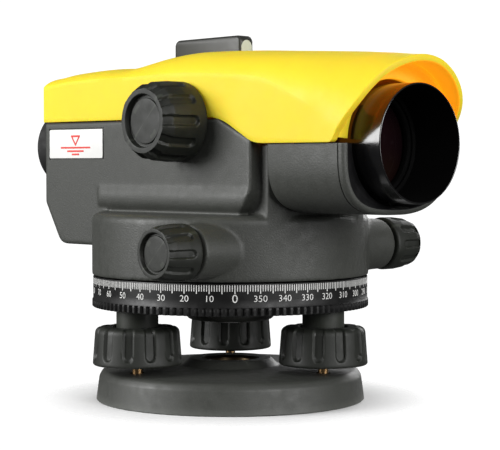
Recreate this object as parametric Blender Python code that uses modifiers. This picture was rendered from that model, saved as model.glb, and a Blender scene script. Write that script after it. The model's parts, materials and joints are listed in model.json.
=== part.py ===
"""Automatic level: a surveyor's self-levelling telescope on a three-screw base.

Lengths are metres, +Z is up and +X is the way the telescope looks.
The origin is the middle of the base plate's underside, on the vertical axis.
"""

from math import asin, atan2, cos, degrees, pi, radians, sin, sqrt, tan

import bmesh
import bpy
from mathutils import Matrix, Vector

# ---------------------------------------------------------------- driving dimensions

GAP = 0.0003                     # between pieces that touch

OPTICAL_Z = 0.0910               # height of the line of sight
REAR_REACH = 0.0960              # from the vertical axis to the eyecup's rim
HOOD_TIP_X = 0.0928
HALF_WIDTH = 0.0609              # from the vertical axis to either slow motion knob's face

BASE_R = 0.0483
BASE_TOP_Z = 0.0103              # where the foot screws enter
BASE_RECESS_Z = 0.0032           # ceiling of the hollow under the plate
TRIPOD_THREAD_R = 0.00794        # 5/8 inch tripod screw

FOOT_CIRCLE_R = 0.0376
FOOT_ANGLES = {"a": 137.5, "b": 257.5, "c": 17.5}
FOOT_BALL_Z = 0.0065
FOOT_BALL_R = 0.0029
FOOT_NECK_R = 0.0018
FOOT_THREAD_R = 0.0030
FOOT_KNOB_R = 0.0157
FOOT_KNOB_Z = (0.0149, 0.0277)
FOOT_SLEEVE_R = 0.00735
FOOT_SLEEVE_BORE_R = 0.0044      # wide enough for foot a's screw when the head tilts

TRIBRACH_Z = (0.0286, 0.0342, 0.0386, 0.0416)   # hub, disc underside, disc top, seat
CIRCLE_R = 0.0497
CIRCLE_Z = (0.0337, 0.0446)
DRUM_R = 0.0497
DRUM_Z = (0.0450, 0.0670)
AXIS_R = 0.0070

BODY_HALF_WIDTH = 0.0280
BODY_SWELL = 0.0010              # how far the side walls swell out above the drum
BODY_SWELL_Z = (0.0735, 0.0765)
BODY_WALL = 0.0026
BODY_REAR_X = -0.0740
BODY_FRONT_X = 0.0402
BODY_TOP_Z = 0.1000
BODY_FLOOR_Z = 0.0700
BARREL_HALF_WIDTH = 0.0269
BARREL_X = (0.0468, 0.0792)
BARREL_Z = 0.0678
BARREL_POWERS = (3.3, 2.4)       # how square the U's right and left sides are
TUBE_R = 0.0196
TUBE_BORE_R = 0.0177
TUBE_MOUTH_X = 0.0906
COVER_WALL = 0.0022
SIGHT_X = (-0.0270, 0.0088)
SIGHT_HALF_WIDTH = 0.0034
TELESCOPE_HOLE_R = 0.0171        # round the telescope tube
EYEPIECE_HOLE_R = 0.0123         # round the eyepiece sleeve

SLOW_X = 0.0295                  # slow motion shaft, along Y
SLOW_Z = 0.0553
SLOW_SHAFT_R = 0.0030
SLOW_BOSS_R = 0.0092
SLOW_BOSS_Y = 0.0460
SLOW_KNOB_Y = 0.0473
SLOW_KNOB_R = 0.0096
SLOW_KNOB_RIM_R = 0.0083

GEAR_MODULE = 0.0010             # slow motion worm and wheel
WHEEL_TEETH = 50
WORM_PITCH_R = SLOW_X - WHEEL_TEETH * GEAR_MODULE / 2
FLANK_CLEARANCE = 0.0004

FOCUS_X = 0.0062                 # focusing shaft, along Y
FOCUS_Z = 0.0990
FOCUS_SHAFT_R = 0.0025
FOCUS_HOLE_R = 0.0063
FOCUS_KNOB_R = 0.01385
FOCUS_KNOB_RIM_R = 0.0111
FOCUS_KNOB_Y = (-0.0283, -0.0463)
RACK_MODULE = 0.0008
PINION_TEETH = 12

PENDULUM_X = -0.0220
PENDULUM_Z = 0.1060

ROUND = 28                       # facets round the large turned pieces
SMALL = 12                       # facets round the small ones

# Rotations that lay a piece's own Z along another axis.
ALONG_X = Matrix.Rotation(pi / 2, 4, "Y")
ALONG_Y = Matrix.Rotation(-pi / 2, 4, "X")
ALONG_MINUS_Y = Matrix.Rotation(pi / 2, 4, "X")
# An outline drawn in XZ and thick along Y, and one drawn in YZ and thick along X.
SIDE_VIEW = Matrix.Rotation(pi / 2, 4, "X")
FRONT_VIEW = Matrix.Rotation(pi / 2, 4, "Z") @ Matrix.Rotation(pi / 2, 4, "X")


# ---------------------------------------------------------------- scene and helpers

for old in list(bpy.data.objects):
    bpy.data.objects.remove(old)

parts = bpy.data.collections.new("automatic_level")
cutters = bpy.data.collections.new("cutters")
bpy.context.scene.collection.children.link(parts)
bpy.context.scene.collection.children.link(cutters)


def surface(name, colour, roughness, metallic=0.0):
    """A plain Principled material."""
    material = bpy.data.materials.new(name)
    material.use_nodes = True
    shader = material.node_tree.nodes["Principled BSDF"]
    shader.inputs["Base Color"].default_value = (*colour, 1.0)
    shader.inputs["Roughness"].default_value = roughness
    shader.inputs["Metallic"].default_value = metallic
    return material


ANTHRACITE = ("anthracite_paint", (0.085, 0.089, 0.079), 0.55)
YELLOW = ("yellow_cover", (0.95, 0.74, 0.03), 0.32)
KNOB_BLACK = ("knob_black", (0.026, 0.029, 0.024), 0.42)
SCALE_BLACK = ("scale_black", (0.020, 0.021, 0.020), 0.38)
GLOSS_BLACK = ("gloss_black", (0.010, 0.010, 0.012), 0.16)
RUBBER = ("eyecup_rubber", (0.018, 0.018, 0.018), 0.70)
LABEL = ("label_white", (0.80, 0.80, 0.78), 0.40)
BRASS = ("brass", (0.72, 0.46, 0.18), 0.28, 1.0)
STEEL = ("steel", (0.55, 0.56, 0.57), 0.30, 1.0)
ALUMINIUM = ("aluminium", (0.66, 0.67, 0.68), 0.38, 1.0)
MAGNET = ("magnet", (0.20, 0.20, 0.21), 0.45, 1.0)
GLASS = ("glass", (0.62, 0.66, 0.66), 0.05)
COATED_LENS = ("coated_lens", (0.16, 0.07, 0.12), 0.05)


def finish(name, mesh, look, place=Matrix()):
    """Puts a mesh in the model as one named sub-part with its own material."""
    thing = bpy.data.objects.new(name, mesh)
    thing.matrix_world = place
    mesh.materials.clear()
    mesh.materials.append(surface(name + "_" + look[0], *look[1:]))
    parts.objects.link(thing)
    return thing


def as_cutter(thing):
    """Moves a helper solid to the cutters, where it is only drawn as wire."""
    for holder in list(thing.users_collection):
        holder.objects.unlink(thing)
    cutters.objects.link(thing)
    thing.hide_render = True
    thing.display_type = "WIRE"
    return thing


def boolean(thing, operation, tools):
    for tool in tools:
        step = thing.modifiers.new(operation.lower(), "BOOLEAN")
        step.operation = operation
        step.solver = "EXACT"
        step.object = as_cutter(tool)
    return thing


def cut(thing, *tools):
    return boolean(thing, "DIFFERENCE", tools)


def join(thing, *tools):
    return boolean(thing, "UNION", tools)


def keep_inside(thing, *tools):
    return boolean(thing, "INTERSECT", tools)


def rounded(corners, steps=2):
    """An outline whose corners (x, y, radius) are arcs; (x, y) stays sharp."""
    outline = []
    count = len(corners)
    for index, corner in enumerate(corners):
        here = Vector(corner[:2])
        if len(corner) == 2:
            outline.append(tuple(here))
            continue
        back = (Vector(corners[index - 1][:2]) - here).normalized()
        ahead = (Vector(corners[(index + 1) % count][:2]) - here).normalized()
        half = back.angle(ahead) / 2
        centre = here + (back + ahead).normalized() * corner[2] / sin(half)
        start = here + back * corner[2] / tan(half) - centre
        end = here + ahead * corner[2] / tan(half) - centre
        sweep = atan2(start.cross(end), start.dot(end))
        for step in range(steps + 1):
            turn = sweep * step / steps
            outline.append((centre.x + start.x * cos(turn) - start.y * sin(turn),
                            centre.y + start.x * sin(turn) + start.y * cos(turn)))
    return outline


def turned(name, profile, look, place=Matrix(), segments=ROUND):
    """A solid turned about its own Z; the profile (radius, height) runs down its outer side."""
    bm = bmesh.new()
    points = [bm.verts.new((radius, 0.0, height)) for radius, height in profile]
    for first, second in zip(points, points[1:]):
        bm.edges.new((first, second))
    if profile[0][0] > 0:
        bm.edges.new((points[-1], points[0]))
    mesh = bpy.data.meshes.new(name)
    bm.to_mesh(mesh)
    bm.free()
    thing = finish(name, mesh, look, place)
    spin = thing.modifiers.new("turn", "SCREW")
    spin.steps = segments
    spin.render_steps = segments
    spin.use_merge_vertices = True
    spin.merge_threshold = 0.00001
    spin.use_smooth_shade = False
    return thing


def rod(name, radius, low, high, look, place=Matrix(), segments=SMALL):
    return turned(name, [(0, high), (radius, high), (radius, low), (0, low)], look, place, segments)


def tube(name, outer, inner, low, high, look, place=Matrix(), segments=SMALL):
    profile = [(inner, high), (outer, high), (outer, low), (inner, low)]
    return turned(name, profile, look, place, segments)


def plate(name, outlines, thickness, look, place=Matrix()):
    """A flat outline, with holes if there are more outlines, thick both ways from its plane."""
    curve = bpy.data.curves.new(name, "CURVE")
    curve.dimensions = "2D"
    curve.fill_mode = "BOTH"
    curve.extrude = thickness / 2
    for outline in outlines:
        spline = curve.splines.new("POLY")
        spline.points.add(len(outline) - 1)
        for point, (across, up) in zip(spline.points, outline):
            point.co = (across, up, 0.0, 1.0)
        spline.use_cyclic_u = True
    drawn = bpy.data.objects.new(name + "_outline", curve)
    bpy.context.scene.collection.objects.link(drawn)
    view = bpy.context.evaluated_depsgraph_get()
    mesh = bpy.data.meshes.new_from_object(drawn.evaluated_get(view))
    bpy.data.objects.remove(drawn)
    bm = bmesh.new()
    bm.from_mesh(mesh)
    bmesh.ops.remove_doubles(bm, verts=bm.verts, dist=0.000001)
    bmesh.ops.recalc_face_normals(bm, faces=bm.faces)
    bm.to_mesh(mesh)
    bm.free()
    return finish(name, mesh, look, place)


def box(name, low, high, look, bevel=0.0):
    bm = bmesh.new()
    bmesh.ops.create_cube(bm, size=1.0)
    for vert in bm.verts:
        vert.co = [lo + (hi - lo) * (part + 0.5) for lo, hi, part in zip(low, high, vert.co)]
    mesh = bpy.data.meshes.new(name)
    bm.to_mesh(mesh)
    bm.free()
    thing = finish(name, mesh, look)
    if bevel:
        edge = thing.modifiers.new("edges", "BEVEL")
        edge.width = bevel
        edge.segments = 2
    return thing


def at(x, y, z):
    return Matrix.Translation((x, y, z))


def axis_empty(name, place, things):
    """An empty on a joint's axis, which carries the pieces that move about it."""
    empty = bpy.data.objects.new(name, None)
    empty.empty_display_size = 0.01
    empty.matrix_world = place
    parts.objects.link(empty)
    for thing in things:
        thing.parent = empty
        thing.matrix_parent_inverse = place.inverted()
    return empty


def flutes(name, count, ring_r, flute_r, low, high, place=Matrix()):
    """A ring of square bars that cut the finger flutes of a knob."""
    bm = bmesh.new()
    for index in range(count):
        around = Matrix.Rotation(2 * pi * index / count, 4, "Z")
        spot = around @ at(ring_r, 0, (low + high) / 2) @ Matrix.Rotation(pi / 4, 4, "Z")
        bmesh.ops.create_cone(bm, cap_ends=True, segments=4, radius1=1.2 * flute_r, radius2=1.2 * flute_r,
                              depth=high - low, matrix=spot)
    mesh = bpy.data.meshes.new(name)
    bm.to_mesh(mesh)
    bm.free()
    return finish(name, mesh, KNOB_BLACK, place)


# ---------------------------------------------------------------- base and foot screws

def foot_place(foot):
    angle = radians(FOOT_ANGLES[foot])
    return at(FOOT_CIRCLE_R * cos(angle), FOOT_CIRCLE_R * sin(angle), 0)


def base_plate():
    hub_r = 0.0150
    bush_bore_r = 0.0103
    rim_inner_r = 0.0435
    profile = rounded([
        (bush_bore_r, 0.0147), (hub_r - 0.0010, 0.0147, 0.0010), (hub_r + 0.0015, 0.0115, 0.0010),
        (0.0455, BASE_TOP_Z - 0.0002), (0.0472, BASE_TOP_Z - 0.0004, 0.0014), (BASE_R, 0),
        (rim_inner_r, 0), (rim_inner_r, BASE_RECESS_Z), (bush_bore_r, BASE_RECESS_Z)])
    plate_solid = turned("base_plate", profile, ANTHRACITE, segments=36)
    socket_r = FOOT_BALL_R + 0.0004
    socket = [(0, 0.012), (FOOT_NECK_R + 0.0006, 0.012), (FOOT_NECK_R + 0.0006, 0.0092),
              (socket_r * 0.92, FOOT_BALL_Z + 0.0016), (socket_r, FOOT_BALL_Z),
              (socket_r, 0.001), (0, 0.001)]
    for foot in FOOT_ANGLES:
        cut(plate_solid, turned("socket_" + foot, socket, STEEL, foot_place(foot), SMALL))
    return plate_solid


def tripod_thread_bush():
    flange_r = 0.0130
    body_r = 0.0100
    profile = [(TRIPOD_THREAD_R, 0.0144), (body_r, 0.0144), (body_r, 0.0017), (flange_r, 0.0017),
               (flange_r, 0.0005), (TRIPOD_THREAD_R, 0.0005)]
    return turned("tripod_thread_bush", profile, BRASS, segments=24)


def spring_plate():
    """A three-armed leaf that keeps the foot balls in their sockets."""
    arm_half = 0.0045
    arm_end = FOOT_CIRCLE_R + 0.0035
    ring_r = 0.0165
    outline = []
    for foot in ("c", "a", "b"):
        turn = Matrix.Rotation(radians(FOOT_ANGLES[foot]), 2)
        root = sqrt(ring_r ** 2 - arm_half ** 2)
        for point in ((root, -arm_half), (arm_end, -arm_half), (arm_end, arm_half), (root, arm_half)):
            outline.append(tuple(turn @ Vector(point)))
        outline.append(tuple(turn @ Vector((ring_r / 2, ring_r * sqrt(3) / 2))))
    hole = [(0.0103 * cos(2 * pi * k / 24), 0.0103 * sin(2 * pi * k / 24)) for k in range(24)]
    return plate("spring_plate", [outline, hole], 0.0008, STEEL, at(0, 0, 0.0024))


def foot_spindle(foot):
    shoulder = 0.0006
    arc = [(FOOT_BALL_R * sin(turn), FOOT_BALL_Z + FOOT_BALL_R * cos(turn))
           for turn in (radians(d) for d in (39, 65, 90, 115, 140))]
    profile = [(0, 0.0362), (FOOT_THREAD_R - shoulder, 0.0362), (FOOT_THREAD_R, 0.0356),
               (FOOT_THREAD_R, 0.0138), (FOOT_NECK_R, 0.0134)]
    profile += arc + [(0, FOOT_BALL_Z - FOOT_BALL_R)]
    return turned("foot_spindle_" + foot, profile, BRASS, foot_place(foot), SMALL)


def foot_knob(foot):
    low, high = FOOT_KNOB_Z
    bore_r = FOOT_THREAD_R + GAP
    recess_r = 0.0086
    recess_z = 0.0213
    profile = rounded([
        (bore_r, recess_z), (recess_r, recess_z), (recess_r, high), (FOOT_KNOB_R - 0.0008, high, 0.0016),
        (FOOT_KNOB_R, low, 0.0008), (bore_r, low)], steps=1)
    place = foot_place(foot)
    bars = flutes("foot_flutes_" + foot, 12, FOOT_KNOB_R + 0.0009, 0.0020, low + 0.0022, high + 0.001, place)
    return cut(turned("foot_knob_" + foot, profile, KNOB_BLACK, place, 24), bars)


def foot_sleeve(foot):
    return tube("foot_sleeve_" + foot, FOOT_SLEEVE_R, FOOT_SLEEVE_BORE_R, 0.0240,
                TRIBRACH_Z[1] - GAP, KNOB_BLACK, foot_place(foot))


def tribrach_body():
    hub, under, top, seat = TRIBRACH_Z
    bore_r = 0.0083
    profile = rounded([
        (bore_r, seat), (0.0360, seat), (0.0360, top), (0.0464, top), (0.0464, under),
        (0.0160, under), (0.0160, hub, 0.0020), (bore_r, hub)])
    body = turned("tribrach_body", profile, ANTHRACITE, segments=28)
    for foot in FOOT_ANGLES:
        cut(body, rod("spindle_hole_" + foot, FOOT_SLEEVE_BORE_R, 0.030, 0.045, STEEL, foot_place(foot)))
    return body


def axis_stub():
    profile = [(0, 0.0665), (AXIS_R - 0.0006, 0.0665), (AXIS_R, 0.0659), (AXIS_R, 0.0496),
               (0.0100, 0.0496), (0.0100, 0.0438), (0.0130, 0.0438), (0.0130, TRIBRACH_Z[3] + GAP),
               (0.0080, TRIBRACH_Z[3] + GAP), (0.0080, TRIBRACH_Z[0]), (0, TRIBRACH_Z[0])]
    return turned("axis_stub", profile, STEEL, segments=20)


def axis_washer():
    return rod("axis_washer", 0.0076, 0.0277, TRIBRACH_Z[0] - GAP, STEEL, segments=24)


def circle_spring():
    seat = TRIBRACH_Z[3]
    return tube("circle_spring", 0.0340, 0.0290, seat + GAP, seat + 0.0008, STEEL, segments=24)


def horizontal_circle():
    low, high = CIRCLE_Z
    flange_r = 0.0220
    inner_r = CIRCLE_R - 0.0023
    flange_z = TRIBRACH_Z[3] + 0.0011
    band_r = CIRCLE_R - 0.0003
    profile = [(flange_r, high), (CIRCLE_R - 0.0004, high), (CIRCLE_R, high - 0.0004),
               (band_r, low + 0.0032), (CIRCLE_R, low + 0.0029), (CIRCLE_R, low),
               (inner_r, low), (inner_r, flange_z), (flange_r, flange_z)]
    return turned("horizontal_circle", profile, SCALE_BLACK, segments=40)


# ---------------------------------------------------------------- drum and slow motion

def drum_housing():
    low, high = DRUM_Z
    wall = 0.0028
    bush_r = 0.0114
    profile = rounded([
        (bush_r, high), (DRUM_R, high, 0.0024), (DRUM_R, low), (DRUM_R - wall, low),
        (DRUM_R - wall, high - wall), (bush_r, high - wall)])
    drum = turned("drum_housing", profile, ANTHRACITE, segments=36)
    inner_y = 0.0340
    bore_r = 0.0053
    for side, lay in ((1, ALONG_Y), (-1, ALONG_MINUS_Y)):
        place = at(SLOW_X, 0, SLOW_Z) @ lay
        join(drum, rod("boss_%d" % side, SLOW_BOSS_R, inner_y, SLOW_BOSS_Y, ANTHRACITE, place, 20))
        cut(drum, rod("boss_bore_%d" % side, bore_r, 0.020, 0.050, ANTHRACITE, place))
    return drum


def axis_bush():
    profile = [(AXIS_R + GAP, 0.0668), (0.0110, 0.0668), (0.0110, 0.0637), (0.0150, 0.0637),
               (0.0150, 0.0615), (0.0110, 0.0615), (0.0110, 0.0586), (AXIS_R + GAP, 0.0586)]
    return turned("axis_bush", profile, BRASS, segments=20)


def slow_motion_bush(side, lay):
    return tube("slow_motion_bush_" + side, 0.0050, SLOW_SHAFT_R + GAP, 0.0320, 0.0457, BRASS,
                at(SLOW_X, 0, SLOW_Z) @ lay)


def threaded_bar(name, pitch, tip_r, root_r, half_tip, half_root, turns, look, place):
    """A worm: one helical tooth wound round a bar, closed at both ends by a fan of faces."""
    around = 12
    section = ((-half_root, root_r), (-half_tip, tip_r), (half_tip, tip_r), (half_root, root_r))
    lead = len(section)
    last = lead * turns
    base = -pitch * (turns // 2)
    bm = bmesh.new()
    grid = []
    for row in range(last + 1):
        offset, radius = section[row % lead]
        height = base + pitch * (row // lead) + offset
        grid.append([bm.verts.new((radius * cos(2 * pi * k / around), radius * sin(2 * pi * k / around),
                                   height + pitch * k / around)) for k in range(around)])
    for row in range(last):
        for k in range(around - 1):
            bm.faces.new((grid[row][k], grid[row][k + 1], grid[row + 1][k + 1], grid[row + 1][k]))
    for row in range(last - lead):
        bm.faces.new((grid[row][-1], grid[row + lead][0], grid[row + lead + 1][0], grid[row + 1][-1]))
    start = grid[0] + [grid[row][0] for row in range(lead, 0, -1)]
    finish_loop = grid[last] + [grid[row][-1] for row in range(last - 1, last - lead - 1, -1)]
    low = bm.verts.new((0, 0, base))
    high = bm.verts.new((0, 0, base + pitch * (turns - 1 / around)))
    for loop, apex in ((start, low), (finish_loop, high)):
        for first, second in zip(loop, loop[1:] + loop[:1]):
            bm.faces.new((first, second, apex))
    bmesh.ops.recalc_face_normals(bm, faces=bm.faces)
    mesh = bpy.data.meshes.new(name)
    bm.to_mesh(mesh)
    bm.free()
    return finish(name, mesh, look, place)


def slow_motion_shaft():
    pitch = pi * GEAR_MODULE
    addendum = 0.8 * GEAR_MODULE
    dedendum = 1.1 * GEAR_MODULE
    slope = tan(radians(20))
    half = pitch / 4 - FLANK_CLEARANCE / 2
    place = at(SLOW_X, 0, SLOW_Z) @ ALONG_Y
    shaft_end = 0.0557
    worm = threaded_bar("worm_thread", pitch, WORM_PITCH_R + addendum, WORM_PITCH_R - dedendum,
                        half - addendum * slope, half + dedendum * slope, 3, STEEL, place)
    return join(rod("slow_motion_shaft", SLOW_SHAFT_R, -shaft_end, shaft_end, STEEL, place), worm)


def toothed_ring(name, teeth, tip_r, root_r, half_tip, half_root, bore_r, low, high, twist, look, place):
    """A spur or helical wheel: the tooth outline at both faces, turned by twist between them."""
    bm = bmesh.new()
    rings = []
    for height, turn in ((high, twist / 2), (low, -twist / 2)):
        outer = []
        bore = []
        for tooth in range(teeth):
            middle = 2 * pi * tooth / teeth + turn
            for radius, half in ((root_r, -half_root), (tip_r, -half_tip), (tip_r, half_tip),
                                 (root_r, half_root)):
                angle = middle + half / radius
                outer.append(bm.verts.new((radius * cos(angle), radius * sin(angle), height)))
            bore.append(bm.verts.new((bore_r * cos(middle), bore_r * sin(middle), height)))
        rings.append((outer, bore))
    (top, top_bore), (bottom, bottom_bore) = rings
    for k in range(4 * teeth):
        n = (k + 1) % (4 * teeth)
        bm.faces.new((top[k], bottom[k], bottom[n], top[n]))
    for tooth in range(teeth):
        after = (tooth + 1) % teeth
        points = range(4 * tooth, 4 * tooth + 4)
        bm.faces.new([top[k] for k in points] + [top_bore[tooth]])
        bm.faces.new([bottom[k] for k in reversed(points)] + [bottom_bore[tooth]])
        bm.faces.new((top[points[-1]], top[4 * after], top_bore[after], top_bore[tooth]))
        bm.faces.new((bottom[4 * after], bottom[points[-1]], bottom_bore[tooth], bottom_bore[after]))
        bm.faces.new((top_bore[tooth], top_bore[after], bottom_bore[after], bottom_bore[tooth]))
    bmesh.ops.recalc_face_normals(bm, faces=bm.faces)
    mesh = bpy.data.meshes.new(name)
    bm.to_mesh(mesh)
    bm.free()
    return finish(name, mesh, look, place)


def worm_wheel():
    pitch = pi * GEAR_MODULE
    half_face = 0.0025
    pitch_r = WHEEL_TEETH * GEAR_MODULE / 2
    slope = tan(radians(20))
    half = pitch / 4 - FLANK_CLEARANCE / 2
    lead_slope = pitch / (2 * pi * WORM_PITCH_R)
    return toothed_ring("worm_wheel", WHEEL_TEETH, pitch_r + 0.7 * GEAR_MODULE, pitch_r - 1.1 * GEAR_MODULE,
                        half - 0.7 * GEAR_MODULE * slope, half + 1.1 * GEAR_MODULE * slope,
                        AXIS_R + GAP, -half_face, half_face, 2 * half_face * lead_slope / pitch_r,
                        BRASS, at(0, 0, SLOW_Z))


def side_knob(name, body_r, rim_r, shaft_r, back, face, count, flute_r, place):
    """A fluted knob turned along its own Z, with a blind bore behind and a recess for its cap."""
    bore_end = face - 0.0048
    recess_r = rim_r - 0.0030
    recess_z = face - 0.0014
    profile = rounded([
        (0, recess_z), (recess_r, recess_z), (recess_r, face), (rim_r, face, 0.0006),
        (body_r, face - 0.0035, 0.0020), (body_r, back + 0.0008), (body_r - 0.0008, back),
        (shaft_r + GAP, back), (shaft_r + GAP, bore_end), (0, bore_end)], steps=1)
    bars = flutes(name + "_flutes", count, body_r + 0.0009, flute_r, back + 0.0030, face - 0.0030, place)
    return cut(turned(name, profile, KNOB_BLACK, place, 22), bars)


def knob_cap(name, rim_r, face, place):
    return rod(name, rim_r - 0.0033, face - 0.0011, face - 0.0003, KNOB_BLACK, place)


# ---------------------------------------------------------------- telescope housings

def rear_casting():
    """The part of the housing behind the drum, seen from the side."""
    lump_z = 0.0545
    inner_x = -0.0300
    return rounded([(BODY_REAR_X, BODY_TOP_Z), (BODY_REAR_X, 0.0700, 0.0030), (-0.0645, lump_z, 0.0058),
                    (inner_x, lump_z), (inner_x, BODY_TOP_Z)])


def body_housing():
    """The main casting: a trough from the eyepiece end to the neck, with a lump behind the drum.

    Its side walls swell a little above the drum and then turn under.
    """
    half = BODY_HALF_WIDTH
    inside = half - BODY_WALL
    foot_z = DRUM_Z[1] + GAP
    under_r = 0.0050
    swell = half + BODY_SWELL
    side = rounded([(-0.0450, foot_z), (BODY_FRONT_X, foot_z, 0.0080), (BODY_FRONT_X, 0.0925),
                    (0.0240, BODY_TOP_Z), (-0.0450, BODY_TOP_Z)])
    section = rounded([(-half, 0.120), (-half, BODY_SWELL_Z[1]), (-swell, BODY_SWELL_Z[0]),
                       (-swell, foot_z, under_r), (swell, foot_z, under_r), (swell, BODY_SWELL_Z[0]),
                       (half, BODY_SWELL_Z[1]), (half, 0.120)])
    body = plate("body_housing", [side], 2 * swell, ANTHRACITE, SIDE_VIEW)
    trough = plate("trough_section", [section], 0.200, ANTHRACITE, FRONT_VIEW)
    keep_inside(body, trough)
    rear = plate("rear_lump", [rear_casting()], 2 * half, ANTHRACITE, SIDE_VIEW)
    neck = rod("neck", DRUM_R, DRUM_Z[1] + GAP, OPTICAL_Z, ANTHRACITE, segments=36)
    keep_inside(neck, box("neck_room", (0.0350, -0.0230, 0.060), (BARREL_X[0] - GAP, 0.0230, 0.100), STEEL))
    join(body, rear, neck)
    drum_room = rod("drum_room", DRUM_R + GAP, 0.0400, DRUM_Z[1] + GAP, STEEL, segments=36)
    hollow = [(BODY_REAR_X + BODY_WALL, 0.110), (BODY_REAR_X + BODY_WALL, 0.0715), (-0.0660, 0.0600),
              (-0.0545, 0.0600), (-0.0545, BODY_FLOOR_Z), (BODY_FRONT_X - BODY_WALL, BODY_FLOOR_Z),
              (BODY_FRONT_X - BODY_WALL, 0.110)]
    room = plate("trough_hollow", [hollow], 2 * inside, STEEL, SIDE_VIEW)
    label = box("label_recess", (-0.0711, -0.0300, 0.0861), (-0.0378, -half + 0.0007, 0.0978), STEEL)
    cut(body, drum_room, room, label, rod("eyepiece_hole", EYEPIECE_HOLE_R, -0.080, -0.068, STEEL,
                                          at(0, 0, OPTICAL_Z) @ ALONG_X, 32),
        rod("telescope_hole", TELESCOPE_HOLE_R, 0.030, 0.052, STEEL, at(0, 0, OPTICAL_Z) @ ALONG_X, 32),
        rod("focus_hole", FOCUS_HOLE_R, 0.022, 0.030, STEEL, at(FOCUS_X, 0, FOCUS_Z) @ ALONG_MINUS_Y))
    return body


def barrel_outline(inset):
    """A U open at the line of sight's level, as (across, up) points from right to left."""
    half = BARREL_HALF_WIDTH - inset
    depth = OPTICAL_Z - BARREL_Z - inset
    steps = 20
    outline = []
    for k in range(steps + 1):
        turn = pi + pi * k / steps
        power = BARREL_POWERS[0] if 2 * k < steps else BARREL_POWERS[1]
        reach = (abs(cos(turn) / half) ** power + abs(sin(turn) / depth) ** power) ** (-1 / power)
        outline.append((reach * cos(turn), OPTICAL_Z + reach * sin(turn)))
    return outline


def barrel_housing():
    back, front = BARREL_X
    barrel = plate("barrel_housing", [barrel_outline(0)], front - back, ANTHRACITE,
                   at((back + front) / 2, 0, 0) @ FRONT_VIEW)
    inner = [(across, up + 0.001 * (up > OPTICAL_Z - 0.0001)) for across, up in barrel_outline(BODY_WALL)]
    hollow = plate("barrel_hollow", [inner], 0.040, STEEL, at(back + BODY_WALL + 0.020, 0, 0) @ FRONT_VIEW)
    hole = rod("barrel_rear_hole", TELESCOPE_HOLE_R, 0.040, 0.060, STEEL, at(0, 0, OPTICAL_Z) @ ALONG_X, 32)
    return cut(barrel, hollow, hole)


def objective_collar():
    thickness = 0.0024
    middle = BARREL_X[1] + GAP + thickness / 2
    collar = plate("objective_collar", [barrel_outline(0)], thickness, ANTHRACITE,
                   at(middle, 0, 0) @ FRONT_VIEW)
    return cut(collar, rod("collar_hole", 0.0206, 0.070, 0.090, STEEL,
                           at(0, 0, OPTICAL_Z) @ ALONG_X, 32))


def along(stations, x):
    """The value at x on the straight lines between (x, value) stations."""
    if x <= stations[0][0]:
        return stations[0][1]
    for (left, start), (right, end) in zip(stations, stations[1:]):
        if x <= right:
            part = (x - left) / (right - left)
            return start + (end - start) * part
    return stations[-1][1]


# Along X: the crown's height, the crease where the side ends, the half width and the lower edge.
CREST = [(-0.0760, 0.1179), (-0.0620, 0.1195), (-0.0440, 0.1202), (-0.0360, 0.1201), (-0.0280, 0.1208),
         (-0.0200, 0.1224), (-0.0120, 0.1238), (0.0000, 0.1245), (0.0200, 0.1240), (0.0450, 0.1227),
         (0.0660, 0.1216), (0.0800, 0.1206), (HOOD_TIP_X, 0.1196)]
CREASE = [(-0.0760, 0.1134), (-0.0600, 0.1150), (-0.0400, 0.1156), (0.0000, 0.1160), (0.0280, 0.1147),
          (0.0450, 0.1130), (0.0600, 0.1070), (0.0800, 0.0980), (HOOD_TIP_X, 0.0950)]
WIDTH = [(-0.0760, 0.0278), (-0.0600, 0.0280), (0.0440, 0.0280), (0.0700, 0.0284), (HOOD_TIP_X, 0.0283)]
LOWER_EDGE = [(0.0240, BODY_TOP_Z + GAP), (0.0437, OPTICAL_Z + GAP), (0.0905, OPTICAL_Z + GAP),
              (HOOD_TIP_X, 0.0925)]
# How far forward the hood's rim reaches, by the angle in degrees above the line of sight's level.
HOOD_RIM = [(0, 0.0780), (12.5, 0.0818), (21, 0.0848), (31, 0.0874), (42, 0.0892), (57, 0.0909),
            (75, 0.0924), (90, HOOD_TIP_X)]
COVER_REAR_X = -0.0760
# Along X: how square the crown's shoulders are.
SQUARENESS = [(-0.0440, 2.60), (-0.0300, 2.15), (-0.0140, 2.20), (0.0500, 2.45), (0.0800, 2.10),
              (HOOD_TIP_X, 1.95)]


def cover_section(x, shrink):
    """Points from the right lower edge over the crown to the left one, at one place along X."""
    half = along(WIDTH, x)
    low = along(LOWER_EDGE, x)
    crease = along(CREASE, x)
    crest = along(CREST, x)
    exponent = 2 / along(SQUARENESS, x)
    crown_steps = 5
    right = [(half, low), (half, (low + crease) / 2)]
    for step in range(crown_steps + 1):
        turn = pi / 2 * step / crown_steps
        right.append((half * cos(turn) ** exponent, crease + (crest - crease) * sin(turn) ** exponent))
    right = [(across * shrink, low + (up - low) * (0.25 * shrink + 0.75 if shrink else 0.75))
             for across, up in right]
    right[-1] = (0.0, right[-1][1])
    return [(-across, up) for across, up in right] + [(across, up) for across, up in right[-2::-1]]


def arch(outer_r, inner_r, foot_z):
    """Half a flat ring that stands on two feet just above its centre."""
    outline = []
    for radius, steps in ((outer_r, 18), (inner_r, 16)):
        low = asin(foot_z / radius)
        turns = [low + (pi - 2 * low) * k / steps for k in range(steps + 1)]
        arc = [(radius * cos(turn), radius * sin(turn)) for turn in turns]
        outline += arc if radius == outer_r else arc[::-1]
    return outline


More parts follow.
